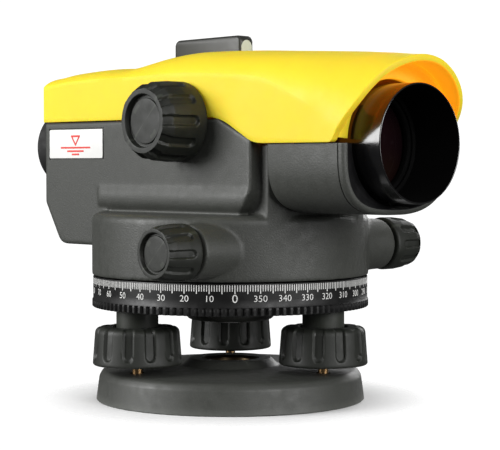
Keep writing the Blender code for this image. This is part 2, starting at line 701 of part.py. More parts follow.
def top_cover():
    """The cover and its sun hood: a sheet lofted along X, thickened inwards."""
    nominal = [(COVER_REAR_X, 0.0), (COVER_REAR_X, 0.6), (COVER_REAR_X, 0.9), (COVER_REAR_X + 0.0030, 1.0)]
    nominal += [(x, 1.0) for x in (-0.060, -0.040, -0.029, -0.020, -0.015, -0.008, 0.006, 0.024, 0.034,
                                   0.0437, 0.056, 0.068, 0.073, 0.078, 0.083, 0.088, 0.0905, HOOD_TIP_X)]
    hood_start = 0.0680
    bm = bmesh.new()
    rows = []
    for x, shrink in nominal:
        row = []
        for across, up in cover_section(x, shrink):
            reach = x
            if x > hood_start:
                part = (x - hood_start) / (HOOD_TIP_X - hood_start)
                rise = degrees(atan2(up - OPTICAL_Z, abs(across)))
                reach = hood_start + (along(HOOD_RIM, rise) - hood_start) * part
            row.append(bm.verts.new((reach, across, up)))
        rows.append(row)
    for first, second in zip(rows, rows[1:]):
        for k in range(len(first) - 1):
            bm.faces.new((first[k], first[k + 1], second[k + 1], second[k]))
    bmesh.ops.remove_doubles(bm, verts=bm.verts, dist=0.00001)
    bmesh.ops.recalc_face_normals(bm, faces=bm.faces)
    top = max(bm.faces, key=lambda face: face.calc_center_median().z)
    if top.normal.z < 0:
        bmesh.ops.reverse_faces(bm, faces=bm.faces)
    mesh = bpy.data.meshes.new("top_cover")
    bm.to_mesh(mesh)
    bm.free()
    cover = finish("top_cover", mesh, YELLOW)
    sheet = cover.modifiers.new("wall", "SOLIDIFY")
    sheet.thickness = COVER_WALL
    sheet.offset = -1
    sheet.use_even_offset = True
    optical = at(0, 0, OPTICAL_Z) @ ALONG_X
    front_wall = plate("hood_front_wall", [arch(0.0276, 0.0210, 0.0012)], 0.0016, YELLOW,
                       at(0.0776, 0, OPTICAL_Z) @ FRONT_VIEW)
    join(cover, front_wall)
    back, front = SIGHT_X
    slot = box("sight_slot", (back - GAP, -SIGHT_HALF_WIDTH - GAP, 0.105),
               (front + GAP, SIGHT_HALF_WIDTH + GAP, 0.140), STEEL)
    eyepiece_hole = rod("cover_eyepiece_hole", EYEPIECE_HOLE_R, -0.080, -0.068, STEEL, optical, 32)
    focus_hole = rod("cover_focus_hole", FOCUS_HOLE_R, 0.022, 0.030, STEEL,
                     at(FOCUS_X, 0, FOCUS_Z) @ ALONG_MINUS_Y)
    return cut(cover, slot, eyepiece_hole, focus_hole)


def name_plate():
    return box("name_plate", (-0.0706, -0.0283, 0.0866), (-0.0383, -0.0276, 0.0973), LABEL)


def sight():
    """The open sight on the cover, with a small lens at each end of its bore."""
    centre_z = 0.1263
    back, front = SIGHT_X
    body = box("sight_body", (back, -SIGHT_HALF_WIDTH, 0.1185), (front, SIGHT_HALF_WIDTH, 0.1298),
               GLOSS_BLACK, 0.0010)
    bore = at(0, 0, centre_z) @ ALONG_X
    cut(body, rod("sight_bore", 0.0022, back - 0.001, front + 0.001, STEEL, bore))
    rod("sight_front_lens", 0.0019, front - 0.0020, front - 0.0006, GLASS, bore, 12)
    rod("sight_rear_lens", 0.0019, back + 0.0006, back + 0.0020, GLASS, bore, 12)
    return body


# ---------------------------------------------------------------- optics

def optical_place():
    return at(0, 0, OPTICAL_Z) @ ALONG_X


def objective_tube():
    flange_r = 0.0202
    profile = [(TUBE_BORE_R, TUBE_MOUTH_X), (TUBE_R, TUBE_MOUTH_X), (TUBE_R, 0.0555), (flange_r, 0.0555),
               (flange_r, 0.0530), (TUBE_BORE_R, 0.0530)]
    return turned("objective_tube", profile, GLOSS_BLACK, optical_place(), 32)


def biconvex(name, radius, middle, half_edge, bulge, look):
    """A round lens on the optical axis; a negative bulge makes both faces hollow."""
    profile = [(0, middle + half_edge + bulge), (radius * 0.5, middle + half_edge + bulge * 0.75),
               (radius, middle + half_edge), (radius, middle - half_edge),
               (radius * 0.5, middle - half_edge - bulge * 0.75), (0, middle - half_edge - bulge)]
    return turned(name, profile, look, optical_place(), 24)


def telescope_tube():
    """The guide that the focusing cell slides in, slotted on the right for the rack."""
    guide = tube("telescope_tube", 0.0168, 0.0150, 0.0030, 0.0525, ALUMINIUM, optical_place(), 28)
    return cut(guide, box("rack_slot", (0.0040, -0.020, 0.0872), (0.0360, -0.010, 0.0960), STEEL))


def focusing_cell():
    """The cell that carries the focusing lens, with its rack along the near side."""
    cell = tube("focusing_cell", 0.0147, 0.0118, 0.0160, 0.0300, ALUMINIUM, optical_place(), 28)
    pitch = pi * RACK_MODULE
    pitch_z = FOCUS_Z - PINION_TEETH * RACK_MODULE / 2
    half = pitch / 4 - 0.0002
    tip = pitch_z + 0.7 * RACK_MODULE
    root = pitch_z - 1.1 * RACK_MODULE
    outline = [(-0.0105, 0.0895), (0.0210, 0.0895), (0.0210, root)]
    for tooth in range(5, -7, -1):
        middle = FOCUS_X + (tooth + 0.5) * pitch
        outline += [(middle + half + 0.0003, root), (middle + half - 0.0002, tip),
                    (middle - half + 0.0002, tip), (middle - half - 0.0003, root)]
    outline += [(-0.0105, root)]
    rack = plate("rack_bar", [outline], 0.0044, ALUMINIUM, at(0, -0.0197, 0) @ SIDE_VIEW)
    web = box("rack_web", (0.0165, -0.0190, 0.0895), (0.0205, -0.0135, 0.0925), ALUMINIUM)
    return join(cell, rack, web)


def focus_pinion():
    pitch = pi * RACK_MODULE
    pitch_r = PINION_TEETH * RACK_MODULE / 2
    half = pitch / 4 - 0.0002
    place = at(FOCUS_X, 0, FOCUS_Z) @ ALONG_MINUS_Y @ Matrix.Rotation(pi / 2, 4, "Z")
    wheel = toothed_ring("pinion_teeth", PINION_TEETH, pitch_r + 0.7 * RACK_MODULE,
                         pitch_r - 1.0 * RACK_MODULE, half - 0.0003, half + 0.0002, 0.0012,
                         0.0176, 0.0222, 0.0, STEEL, place)
    return join(rod("focus_pinion", FOCUS_SHAFT_R, 0.0174, 0.0402, STEEL, place), wheel)


def focus_bush():
    return tube("focus_bush", 0.0060, FOCUS_SHAFT_R + GAP, 0.0230, 0.0278, BRASS,
                at(FOCUS_X, 0, FOCUS_Z) @ ALONG_MINUS_Y)


def reticle_cell():
    profile = [(0.0048, -0.0530), (0.0118, -0.0530), (0.0118, -0.0575), (0.0048, -0.0575)]
    return turned("reticle_cell", profile, BRASS, optical_place(), 24)


def eyepiece():
    place = optical_place()
    sleeve = [(0.0104, -0.0580), (0.0140, -0.0580), (0.0140, -0.0710), (0.0120, -0.0710),
              (0.0120, -0.0800), (0.0104, -0.0800)]
    turned("eyepiece_sleeve", sleeve, ANTHRACITE, place, 28)
    tube("eyepiece_cell", 0.0100, 0.0080, -0.0830, -0.0630, ALUMINIUM, place, 24)
    biconvex("eyepiece_lens", 0.0077, -0.0790, 0.0008, 0.0012, GLASS)
    ring_profile = [(0.0124, -0.0765), (0.0140, -0.0770), (0.0140, -0.0895), (0.0104, -0.0895),
                    (0.0104, -0.0806), (0.0124, -0.0806)]
    bars = flutes("diopter_flutes", 12, 0.0147, 0.0014, -0.0885, -0.0785, place)
    ring = cut(turned("diopter_ring", ring_profile, KNOB_BLACK, place, 24), bars)
    cup_profile = [(0.0094, -0.0898), (0.0138, -0.0898), (0.0157, -REAR_REACH), (0.0147, -REAR_REACH)]
    cup = turned("eyecup", cup_profile, RUBBER, place, 28)
    axis_empty("diopter_axis", place, [ring, cup])


# ---------------------------------------------------------------- compensator and level

def compensator():
    """A frame screwed to the floor, fixed and hanging prisms, and the magnet that stills them."""
    floor_z = BODY_FLOOR_Z + GAP
    cheek = 0.0150
    inner = 0.0130
    outer = [(-cheek, floor_z), (cheek, floor_z), (cheek, 0.1110), (-cheek, 0.1110)]
    window = [(-inner, 0.0730), (inner, 0.0730), (inner, 0.1080), (-inner, 0.1080)]
    plate("compensator_frame", [outer, window], 0.0330, ALUMINIUM, at(-0.0305, 0, 0) @ FRONT_VIEW)
    five_sides = [(-0.0450, 0.0840), (-0.0340, 0.0840), (-0.0320, 0.0910), (-0.0370, 0.0985),
                  (-0.0450, 0.0985)]
    plate("roof_prism", [five_sides], 2 * (inner - GAP), GLASS, SIDE_VIEW)
    slot = [(-0.0290, 0.0733), (-0.0150, 0.0733), (-0.0150, 0.0800), (-0.0182, 0.0800), (-0.0182, 0.0755),
            (-0.0258, 0.0755), (-0.0258, 0.0800), (-0.0290, 0.0800)]
    plate("damping_magnet", [slot], 0.0100, MAGNET, SIDE_VIEW)
    hanger = [(-0.0100, 0.0840), (-0.0040, 0.0840), (-0.0040, 0.0770), (0.0040, 0.0770), (0.0040, 0.0840),
              (0.0100, 0.0840), (0.0100, 0.1072), (-0.0100, 0.1072)]
    opening = [(-0.0075, 0.0860), (0.0075, 0.0860), (0.0075, 0.0985), (-0.0075, 0.0985)]
    body = plate("pendulum_body", [hanger, opening], 0.0036, ALUMINIUM, at(PENDULUM_X, 0, 0) @ FRONT_VIEW)
    prism = box("pendulum_prism", (PENDULUM_X - 0.0040, -0.0072, 0.0863),
                (PENDULUM_X + 0.0040, 0.0072, 0.0982), GLASS)
    axis_empty("compensator_axis", at(PENDULUM_X, 0, PENDULUM_Z), [body, prism])


def circular_level():
    """The bull's eye level on the left shoulder of the drum, and the prism that it is read in."""
    place = at(-0.0080, 0.0389, 0)
    foot = DRUM_Z[1] + GAP
    cup = [(0, 0.0694), (0.0074, 0.0694), (0.0074, 0.0757), (0.0086, 0.0757), (0.0086, foot), (0, foot)]
    turned("level_cup", cup, KNOB_BLACK, place, 28)
    vial = [(0, 0.0755), (0.0040, 0.0750), (0.0070, 0.0735), (0.0070, 0.0698), (0, 0.0698)]
    turned("level_vial", vial, GLASS, place, 24)
    near, far = BODY_HALF_WIDTH + GAP, 0.0440
    prism = [(-0.0150, 0.0806), (-0.0010, 0.0806), (-0.0010, 0.0830), (-0.0126, 0.0946), (-0.0150, 0.0946)]
    plate("level_prism", [prism], far - near, GLASS, at(0, (near + far) / 2, 0) @ SIDE_VIEW)


# ---------------------------------------------------------------- assembly

def base_group():
    base_plate()
    tripod_thread_bush()
    spring_plate()
    for foot in FOOT_ANGLES:
        knob = foot_knob(foot)
        spindle = foot_spindle(foot)
        axis_empty("foot_screw_%s_axis" % foot, foot_place(foot), [knob, spindle])
        foot_sleeve(foot)


def head_group():
    tribrach_body()
    axis_stub()
    axis_washer()
    circle_spring()
    axis_empty("circle_axis", Matrix(), [horizontal_circle()])


def slow_motion_group():
    centre = at(SLOW_X, 0, SLOW_Z)
    moving = [slow_motion_shaft()]
    for side, lay in (("left", ALONG_Y), ("right", ALONG_MINUS_Y)):
        slow_motion_bush(side, lay)
        place = centre @ lay
        moving.append(side_knob("slow_motion_knob_" + side, SLOW_KNOB_R, SLOW_KNOB_RIM_R, SLOW_SHAFT_R,
                                SLOW_KNOB_Y, HALF_WIDTH, 10, 0.0016, place))
        moving.append(knob_cap("slow_motion_cap_" + side, SLOW_KNOB_RIM_R, HALF_WIDTH, place))
    axis_empty("slow_motion_axis", centre, moving)
    axis_empty("worm_wheel_axis", at(0, 0, SLOW_Z), [worm_wheel()])


def focusing_group():
    place = at(FOCUS_X, 0, FOCUS_Z) @ ALONG_MINUS_Y
    back, face = (-y for y in FOCUS_KNOB_Y)
    knob = side_knob("focus_knob", FOCUS_KNOB_R, FOCUS_KNOB_RIM_R, FOCUS_SHAFT_R, back, face, 11, 0.0021,
                     place)
    cap = knob_cap("focus_knob_cap", FOCUS_KNOB_RIM_R, face, place)
    axis_empty("focus_axis", at(FOCUS_X, 0, FOCUS_Z), [knob, cap, focus_pinion()])
    focus_bush()
    lens = biconvex("focusing_lens", 0.0115, 0.0240, 0.0018, -0.0012, COATED_LENS)
    axis_empty("focusing_travel", at(0, 0, OPTICAL_Z), [focusing_cell(), lens])


def telescope_group():
    body_housing()
    barrel_housing()
    objective_collar()
    top_cover()
    name_plate()
    sight()
    objective_tube()
    biconvex("objective_lens", 0.0174, 0.0660, 0.0018, 0.0018, COATED_LENS)
    tube("objective_lens_ring", 0.0174, 0.0156, 0.0690, 0.0712, GLOSS_BLACK, optical_place(), 28)
    telescope_tube()
    reticle_cell()
    eyepiece()
    compensator()
    circular_level()


base_group()
head_group()
drum_housing()
axis_bush()
slow_motion_group()
focusing_group()
telescope_group()
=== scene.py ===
"""Looks for the automatic level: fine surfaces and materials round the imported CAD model.

Lengths here are millimetres, in the model's own frame: +X is the line of sight, +Z is up.
The mesh helper `made` turns them into Blender's metres.
"""

import json
from math import atan2, cos, degrees, hypot, pi, radians, sin, tan

import bmesh
import bpy
from mathutils import Matrix, Vector


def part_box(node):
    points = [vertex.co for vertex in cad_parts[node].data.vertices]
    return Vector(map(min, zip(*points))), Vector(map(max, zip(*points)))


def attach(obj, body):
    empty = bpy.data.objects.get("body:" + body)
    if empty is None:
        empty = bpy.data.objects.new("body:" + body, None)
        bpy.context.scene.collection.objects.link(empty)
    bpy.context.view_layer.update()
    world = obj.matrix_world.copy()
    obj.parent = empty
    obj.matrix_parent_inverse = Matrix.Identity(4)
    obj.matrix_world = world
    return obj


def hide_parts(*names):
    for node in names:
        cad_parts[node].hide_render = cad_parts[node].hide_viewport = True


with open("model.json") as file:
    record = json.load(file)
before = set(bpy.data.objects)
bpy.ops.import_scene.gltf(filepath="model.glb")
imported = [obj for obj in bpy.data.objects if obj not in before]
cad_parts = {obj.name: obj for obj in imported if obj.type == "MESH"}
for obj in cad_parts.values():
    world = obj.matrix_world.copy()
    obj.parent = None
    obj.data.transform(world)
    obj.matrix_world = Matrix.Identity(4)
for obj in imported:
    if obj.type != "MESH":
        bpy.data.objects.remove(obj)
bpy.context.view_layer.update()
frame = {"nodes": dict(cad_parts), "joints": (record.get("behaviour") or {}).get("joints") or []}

# ---------- places, from the frame

MM = 0.001
JOINTS = {joint["name"]: joint for joint in frame["joints"]}


def low(node):
    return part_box(node)[0] / MM


def high(node):
    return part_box(node)[1] / MM


def joint_place(name):
    return Vector(JOINTS[name]["pos_m"]) / MM


OPTICAL_Z = (low("objective_tube").z + high("objective_tube").z) / 2
DRUM_R = high("drum_housing").x
DRUM_LOW, DRUM_TOP = low("drum_housing").z, high("drum_housing").z
BODY_SWELL = 1.0                  # how far the body's walls bulge near their foot
BODY_HALF = high("body_housing").y - BODY_SWELL
BODY_REAR, BODY_TOP = low("body_housing").x, high("body_housing").z
BLOCK_REAR, BLOCK_FRONT = -41.0, 40.2            # ends of the trough above the drum
BARREL_BACK, BARREL_FRONT = low("barrel_housing").x, high("barrel_housing").x
BARREL_HALF, BARREL_LOW = high("barrel_housing").y, low("barrel_housing").z
BARREL_NEAR_POWER, BARREL_FAR_POWER = 3.3, 2.4   # how square its lower right and left sides are
COLLAR_BACK, COLLAR_FRONT = low("objective_collar").x, high("objective_collar").x
CIRCLE_R = high("horizontal_circle").x
CIRCLE_LOW, CIRCLE_TOP = low("horizontal_circle").z, high("horizontal_circle").z
TUBE_BACK, TUBE_MOUTH = low("objective_tube").x, high("objective_tube").x
TUBE_R = 19.6
TUBE_ROOM_R = 20.6                # bore of the barrel and the collar, round the tube
COVER_REAR = low("top_cover").x
HOOD_TIP = high("top_cover").x
SIGHT_LOW, SIGHT_HIGH = low("sight_body"), high("sight_body")
LABEL_LOW, LABEL_HIGH = low("name_plate"), high("name_plate")
SLOW = joint_place("slow_motion_turn")
FOCUS = joint_place("focus_knob_turn")
FEET = {foot: joint_place("foot_screw_%s_turn" % foot) for foot in "abc"}
FOOT_DROP = 0.6                   # how much lower the fine foot knobs reach than in CAD
FOOT_LOW, FOOT_TOP = low("foot_knob_a").z - FOOT_DROP, high("foot_knob_a").z
FOOT_R = (high("foot_knob_a").x - low("foot_knob_a").x) / 2

# Turning axes, and the planes of flat outlines drawn as seen from the right side or from the front.
ALONG_X = Matrix.Rotation(pi / 2, 4, "Y")
ALONG_Y = Matrix.Rotation(-pi / 2, 4, "X")
ALONG_MINUS_Y = Matrix.Rotation(pi / 2, 4, "X")
SIDE_VIEW = Matrix.Rotation(pi / 2, 4, "X")
FRONT_VIEW = Matrix.Rotation(pi / 2, 4, "Z") @ Matrix.Rotation(pi / 2, 4, "X")


def at(x, y, z):
    return Matrix.Translation((x, y, z))


OPTICAL = at(0, 0, OPTICAL_Z) @ ALONG_X
FOCUS_AXIS = at(FOCUS.x, 0, FOCUS.z) @ ALONG_MINUS_Y


# ---------- materials

def node_tree(name):
    material = bpy.data.materials.new(name)
    material.use_nodes = True
    tree = material.node_tree
    return material, tree, tree.nodes["Principled BSDF"]


def feed(tree, node, values):
    """Fills sockets by name: another node's output is linked, anything else is a constant."""
    for name, value in values.items():
        if isinstance(value, bpy.types.NodeSocket):
            tree.links.new(value, node.inputs[name])
        else:
            node.inputs[name].default_value = value


def added(tree, kind, **values):
    """The outputs of a new node, whose sockets are filled by name with _ for each space."""
    node = tree.nodes.new("ShaderNode" + kind)
    feed(tree, node, {name.replace("_", " "): value for name, value in values.items()})
    return node.outputs


def coordinates(tree):
    return added(tree, "TexCoord")["Object"]


def noise(tree, scale, detail=2.0, rough=0.5, stretch=None):
    """A noise value over the piece; scale is features per metre."""
    where = coordinates(tree)
    if stretch:
        where = added(tree, "Mapping", Scale=stretch, Vector=where)["Vector"]
    return added(tree, "TexNoise", Scale=scale, Detail=detail, Roughness=rough, Vector=where)["Fac"]


def span(tree, value, from_low, from_high, to_low=0.0, to_high=1.0):
    return added(tree, "MapRange", From_Min=from_low, From_Max=from_high, To_Min=to_low, To_Max=to_high,
                 Value=value)["Result"]


def mixed(tree, factor, first, second):
    """A colour between first and second; either may be a colour or another node's output."""
    mix = tree.nodes.new("ShaderNodeMix")
    mix.data_type = "RGBA"
    ends = [(*colour, 1.0) if isinstance(colour, tuple) else colour for colour in (first, second)]
    feed(tree, mix, {"Factor": factor, "A": ends[0], "B": ends[1]})
    return mix.outputs["Result"]


def bumps(tree, layers):
    """Bump layers (height output, strength, depth in metres), each on top of the last."""
    below = {}
    for height, strength, depth in layers:
        relief = added(tree, "Bump", Strength=strength, Distance=depth, Height=height, **below)
        below = {"Normal": relief["Normal"]}
    return below["Normal"]


def worn_edges(tree, colour, lighter, amount):
    """Lightens sharp outer edges, partly as wear where handling rubs them and partly as a painted highlight
    along the rims.
    """
    edge = added(tree, "NewGeometry")["Pointiness"]
    return mixed(tree, span(tree, edge, 0.52, 0.60, 0.0, amount), colour, lighter)


def scaled(colour, factor):
    return tuple(min(1.0, part * factor) for part in colour)


def coated(name, colour, roughness, *, spread=0.08, vary=0.10, patch=70, grain=1800, depth=0.00002,
           strength=0.35, wear_and_highlight=0.0, coat=0.0, fleck=0.0, specular=0.5, translucent=0.0, glow=0.0):
    """Paint or moulded plastic: slow colour patches, fine grain in relief, uneven gloss, sharp edges
    lightened for wear and as a painted highlight, and an optional painted glow.
    """
    material, tree, shader = node_tree(name)
    slow = noise(tree, patch, 3.0)
    fine = noise(tree, grain, 2.0, 0.6)
    tint = mixed(tree, span(tree, slow, 0.3, 0.7), scaled(colour, 1 - vary), scaled(colour, 1 + vary))
    if fleck:
        tint = mixed(tree, span(tree, fine, 0.45, 0.75, 0.0, fleck), tint, scaled(colour, 2.0))
    # Lighter sharp edges: wear, and a painted highlight.
    if wear_and_highlight:
        tint = worn_edges(tree, tint, scaled(colour, 3.0), wear_and_highlight)
    gloss = span(tree, noise(tree, patch * 4, 4.0), 0.3, 0.7, roughness - spread, roughness + spread)
    waves = noise(tree, patch * 3, 2.0)
    feed(tree, shader, {
        "Base Color": tint, "Roughness": gloss, "Specular IOR Level": specular,
        "Coat Weight": coat, "Coat Roughness": 0.12,
        "Subsurface Weight": translucent, "Subsurface Radius": (1.0, 0.40, 0.05), "Subsurface Scale": 0.006,
        # glow makes the colour shine by itself: a painted glow, not a lamp.
        "Emission Color": tint, "Emission Strength": glow,
        "Normal": bumps(tree, [(waves, 0.08, 0.00010), (fine, strength, depth)])})
    return material


def turned_metal(name, colour, roughness, along=(1.0, 1.0, 12.0)):
    """Machined metal: fine tool lines across the turning axis and slight tarnish."""
    material, tree, shader = node_tree(name)
    lines = noise(tree, 700, 3.0, 0.6, stretch=along)
    tarnish = span(tree, noise(tree, 120, 4.0), 0.35, 0.7)
    feed(tree, shader, {
        "Base Color": mixed(tree, tarnish, colour, scaled(colour, 0.72)),
        "Roughness": span(tree, lines, 0.3, 0.7, roughness - 0.08, roughness + 0.10),
        "Metallic": 1.0, "Normal": bumps(tree, [(lines, 0.25, 0.00002)])})
    return material


def clear_glass(name, colour, roughness=0.02, transmission=1.0):
    """Polished glass or liquid with a little dust on it."""
    material, tree, shader = node_tree(name)
    dust = noise(tree, 500, 4.0)
    unevenness = span(tree, noise(tree, 90, 2.0), 0.3, 0.7)
    feed(tree, shader, {
        "Base Color": mixed(tree, unevenness, colour, scaled(colour, 0.94)),
        "Roughness": span(tree, dust, 0.5, 0.8, roughness, roughness + 0.05),
        "Transmission Weight": transmission, "IOR": 1.5})
    return material


def lens_coating(name):
    """A deep lens seen from outside: its near-black colour is painted shade for the dark inside seen through
    it, with painted purple and amber reflections of its coating.
    """
    material, tree, shader = node_tree(name)
    painted_reflection_mix = span(tree, noise(tree, 45, 1.0), 0.35, 0.65)
    # Painted coating reflections, purple to amber, in the base colour.
    glow = mixed(tree, painted_reflection_mix, (0.006, 0.002, 0.004), (0.009, 0.004, 0.003))
    dust = span(tree, noise(tree, 400, 4.0), 0.62, 0.85, 0.0, 0.2)
    feed(tree, shader, {
        "Base Color": mixed(tree, dust, glow, (0.030, 0.022, 0.024)),
        "Roughness": 0.04, "Coat Weight": 0.6, "Coat Roughness": 0.02})
    return material


BODY = (0.040, 0.042, 0.037)
BLACK = (0.012, 0.0135, 0.0105)
paint = coated("body_paint", BODY, 0.50, vary=0.06, grain=2000, depth=0.00010, strength=0.8, wear_and_highlight=0.5,
               fleck=0.45, specular=0.45)
base_paint = coated("base_paint", scaled(BODY, 0.95), 0.52, vary=0.08, grain=2200, depth=0.00005,
                    strength=0.6, wear_and_highlight=0.5, fleck=0.30, specular=0.45)
yellow = coated("cover_yellow", (0.92, 0.67, 0.030), 0.52, spread=0.06, vary=0.02, patch=40, grain=2400,
                depth=0.00001, strength=0.25, specular=0.25, translucent=0.35)
# The hood's inside is a deeper orange copy of the yellow with a painted glow, which stands in for the light
# that soaks through the thin hood and bounces inside it.
hood_inside_painted_glow = coated("hood_inside_painted_glow", (0.92, 0.37, 0.008), 0.45, spread=0.05, vary=0.03, patch=40, grain=2400,
                     depth=0.00001, strength=0.25, translucent=0.5, glow=0.65)
knob_black = coated("knob_black", BLACK, 0.54, vary=0.12, grain=2400, depth=0.00004, strength=0.5,
                    wear_and_highlight=0.75, specular=0.42)
scale_black = coated("scale_black", (0.005, 0.005, 0.005), 0.45, vary=0.10, grain=2600, wear_and_highlight=0.45,
                     specular=0.3)
scale_white = coated("scale_white", (0.80, 0.80, 0.78), 0.45, vary=0.06, patch=300, grain=3000,
                     depth=0.00001)
sight_black = coated("sight_black", (0.022, 0.023, 0.020), 0.44, spread=0.04, vary=0.08, grain=3000,
                     depth=0.000004, strength=0.15)
tube_black = coated("tube_black", (0.0035, 0.0035, 0.004), 0.17, spread=0.04, vary=0.15, grain=2600,
                    depth=0.000006, strength=0.2, coat=0.35)
# Matte black for the tube's baffle; on the collar's funnel it is painted shade.
inside_black_and_painted_shade = coated("inside_black_and_painted_shade", (0.004, 0.004, 0.0045), 0.55, vary=0.2, grain=2200, strength=0.4,
                      specular=0.3)
bore_black = coated("bore_black", (0.0015, 0.0015, 0.0015), 0.80, vary=0.3, grain=2200, strength=0.3,
                    specular=0.08)
rubber = coated("eyecup_rubber", (0.012, 0.012, 0.012), 0.68, vary=0.18, grain=1500, depth=0.00004,
                strength=0.5, specular=0.3)
label_white = coated("label_white", (0.82, 0.82, 0.80), 0.38, spread=0.04, vary=0.02, patch=120,
                     grain=3000, depth=0.000006)
label_red = coated("label_red", (0.72, 0.045, 0.035), 0.42, vary=0.05, patch=200, grain=3000,
                   depth=0.000006)
brass = turned_metal("brass", (0.52, 0.32, 0.15), 0.30)
dark_brass = turned_metal("dark_brass", (0.085, 0.062, 0.035), 0.40)
steel = turned_metal("steel", (0.62, 0.62, 0.61), 0.26)
spring_steel = turned_metal("spring_steel", (0.42, 0.43, 0.45), 0.34, along=(6.0, 1.0, 1.0))
aluminium = turned_metal("aluminium", (0.70, 0.71, 0.72), 0.32, along=(12.0, 1.0, 1.0))
magnet_metal = turned_metal("magnet_metal", (0.22, 0.22, 0.23), 0.42, along=(1.0, 8.0, 1.0))
glass = clear_glass("clear_glass", (0.92, 0.96, 0.94))
window = clear_glass("sight_window", (0.66, 0.70, 0.62), 0.12, transmission=0.15)
vial_liquid = clear_glass("vial_liquid", (0.72, 0.90, 0.35), 0.03)
lens = lens_coating("coated_lens")


# ---------- mesh helpers

def linked(name, data):
    """A new object in the scene."""
    thing = bpy.data.objects.new(name, data)
    bpy.context.scene.collection.objects.link(thing)
    return thing


def smooth_shade(thing, sharp=32.0):
    thing.data.shade_smooth()
    thing.data.set_sharp_from_angle(angle=radians(sharp))
    return thing


def made(name, bm, material, place=Matrix(), sharp=32.0):
    """Turns a bmesh in millimetres into a shaded object in metres, with its place in its vertices."""
    bmesh.ops.recalc_face_normals(bm, faces=bm.faces)
    mesh = bpy.data.meshes.new(name)
    bm.to_mesh(mesh)
    bm.free()
    mesh.transform(Matrix.Scale(MM, 4) @ place)
    mesh.materials.append(material)
    return smooth_shade(linked(name, mesh), sharp)


def piece(thing, body, slot, *nodes):
    """Fixes a finished object to its moving body and hides the CAD nodes it stands for; its material slot is
    not used.
    """
    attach(thing, body)
    if nodes:
        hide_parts(*nodes)


def applied(thing):
    """The object with its modifiers made final."""
    view = bpy.context.evaluated_depsgraph_get()
    mesh = bpy.data.meshes.new_from_object(thing.evaluated_get(view))
    thing.modifiers.clear()
    thing.data = mesh
    mesh.name = thing.name
    return thing


def combined(thing, operation, tools):
    """The object after a Boolean with each tool, which is then removed."""
    for tool in tools:
        step = thing.modifiers.new(operation.lower(), "BOOLEAN")
        step.operation = operation
        step.object = tool
    applied(thing)
    for tool in tools:
        bpy.data.objects.remove(tool)
    return smooth_shade(thing)


def cut(thing, *tools):
    return combined(thing, "DIFFERENCE", tools)


def outward(spot):
    """The direction straight away from the line of sight."""
    return Vector((0, spot.y, spot.z - OPTICAL_Z)).normalized()


def second_material(thing, material, chosen):
    """Gives another material to the faces that are chosen by chosen(face, its middle)."""
    thing.data.materials.append(material)
    last = len(thing.data.materials) - 1
    for face in thing.data.polygons:
        if chosen(face, face.center / MM):
            face.material_index = last


def rounded(corners, steps=6):
    """An outline whose corners (x, y, radius) are arcs; (x, y) stays sharp."""
    outline = []
    count = len(corners)
    for index, corner in enumerate(corners):
        here = Vector(corner[:2])
        if len(corner) == 2:
            outline.append(tuple(here))
            continue
        back = (Vector(corners[index - 1][:2]) - here).normalized()
        ahead = (Vector(corners[(index + 1) % count][:2]) - here).normalized()
        half = back.angle(ahead) / 2
        centre = here + (back + ahead).normalized() * corner[2] / sin(half)
        start = here + back * corner[2] / tan(half) - centre
        end = here + ahead * corner[2] / tan(half) - centre
        sweep = atan2(start.cross(end), start.dot(end))
        for step in range(steps + 1):
            turn = sweep * step / steps
            outline.append((centre.x + start.x * cos(turn) - start.y * sin(turn),
                            centre.y + start.x * sin(turn) + start.y * cos(turn)))
    return outline


def rounded_bar(half_across, half_up, radius, middle=0.0, steps=6):
    """The outline of a level bar with round corners, whose middle is at (0, middle)."""
    corners = ((-1, -1), (1, -1), (1, 1), (-1, 1))
    return rounded([(side * half_across, middle + rise * half_up, radius) for side, rise in corners], steps)


def dense(outline, step):
    """The same outline with points no further apart than about one step."""
    points = []
    for first, second in zip(outline, outline[1:]):
        parts = max(1, round(hypot(second[0] - first[0], second[1] - first[1]) / step))
        points += [(first[0] + (second[0] - first[0]) * k / parts,
                    first[1] + (second[1] - first[1]) * k / parts) for k in range(parts)]
    return points + [outline[-1]]


def lathe(name, profile, material, place=Matrix(), segments=96, relief=None, sharp=32.0):
    """A turned solid; relief(angle, radius, height) lowers the surface where it isn't zero.

    A profile that starts on the axis is closed there; any other is a closed ring.
    """
    bm = bmesh.new()
    rings = []
    for radius, height in profile:
        if radius < 1e-6:
            rings.append([bm.verts.new((0, 0, height))])
            continue
        ring = []
        for k in range(segments):
            angle = 2 * pi * k / segments
            reach = radius - (relief(angle, radius, height) if relief else 0.0)
            ring.append(bm.verts.new((reach * cos(angle), reach * sin(angle), height)))
        rings.append(ring)
    pairs = list(zip(rings, rings[1:]))
    if profile[0][0] > 1e-6:
        pairs.append((rings[-1], rings[0]))
    for first, second in pairs:
        for k in range(segments):
            n = (k + 1) % segments
            corners = [first[k % len(first)], first[n % len(first)], second[n % len(second)],
                       second[k % len(second)]]
            bm.faces.new([corner for i, corner in enumerate(corners) if corner not in corners[:i]])
    return made(name, bm, material, place, sharp)


def prism(name, outline, thickness, material, place=Matrix(), bevel=0.0, sharp=32.0):
    """A flat outline thick both ways from its plane, with rounded edges at both faces."""
    bm = bmesh.new()
    face = bm.faces.new([bm.verts.new((across, up, -thickness / 2)) for across, up in outline])
    grown = bmesh.ops.extrude_face_region(bm, geom=[face])["geom"]
    for vert in [item for item in grown if isinstance(item, bmesh.types.BMVert)]:
        vert.co.z = thickness / 2
    thing = made(name, bm, material, place, sharp)
    if bevel:
        edge = thing.modifiers.new("edges", "BEVEL")
        edge.width = bevel * MM
        edge.segments = 4
        edge.limit_method = "ANGLE"
        edge.angle_limit = radians(50)
        smooth_shade(applied(thing), sharp)
    return thing


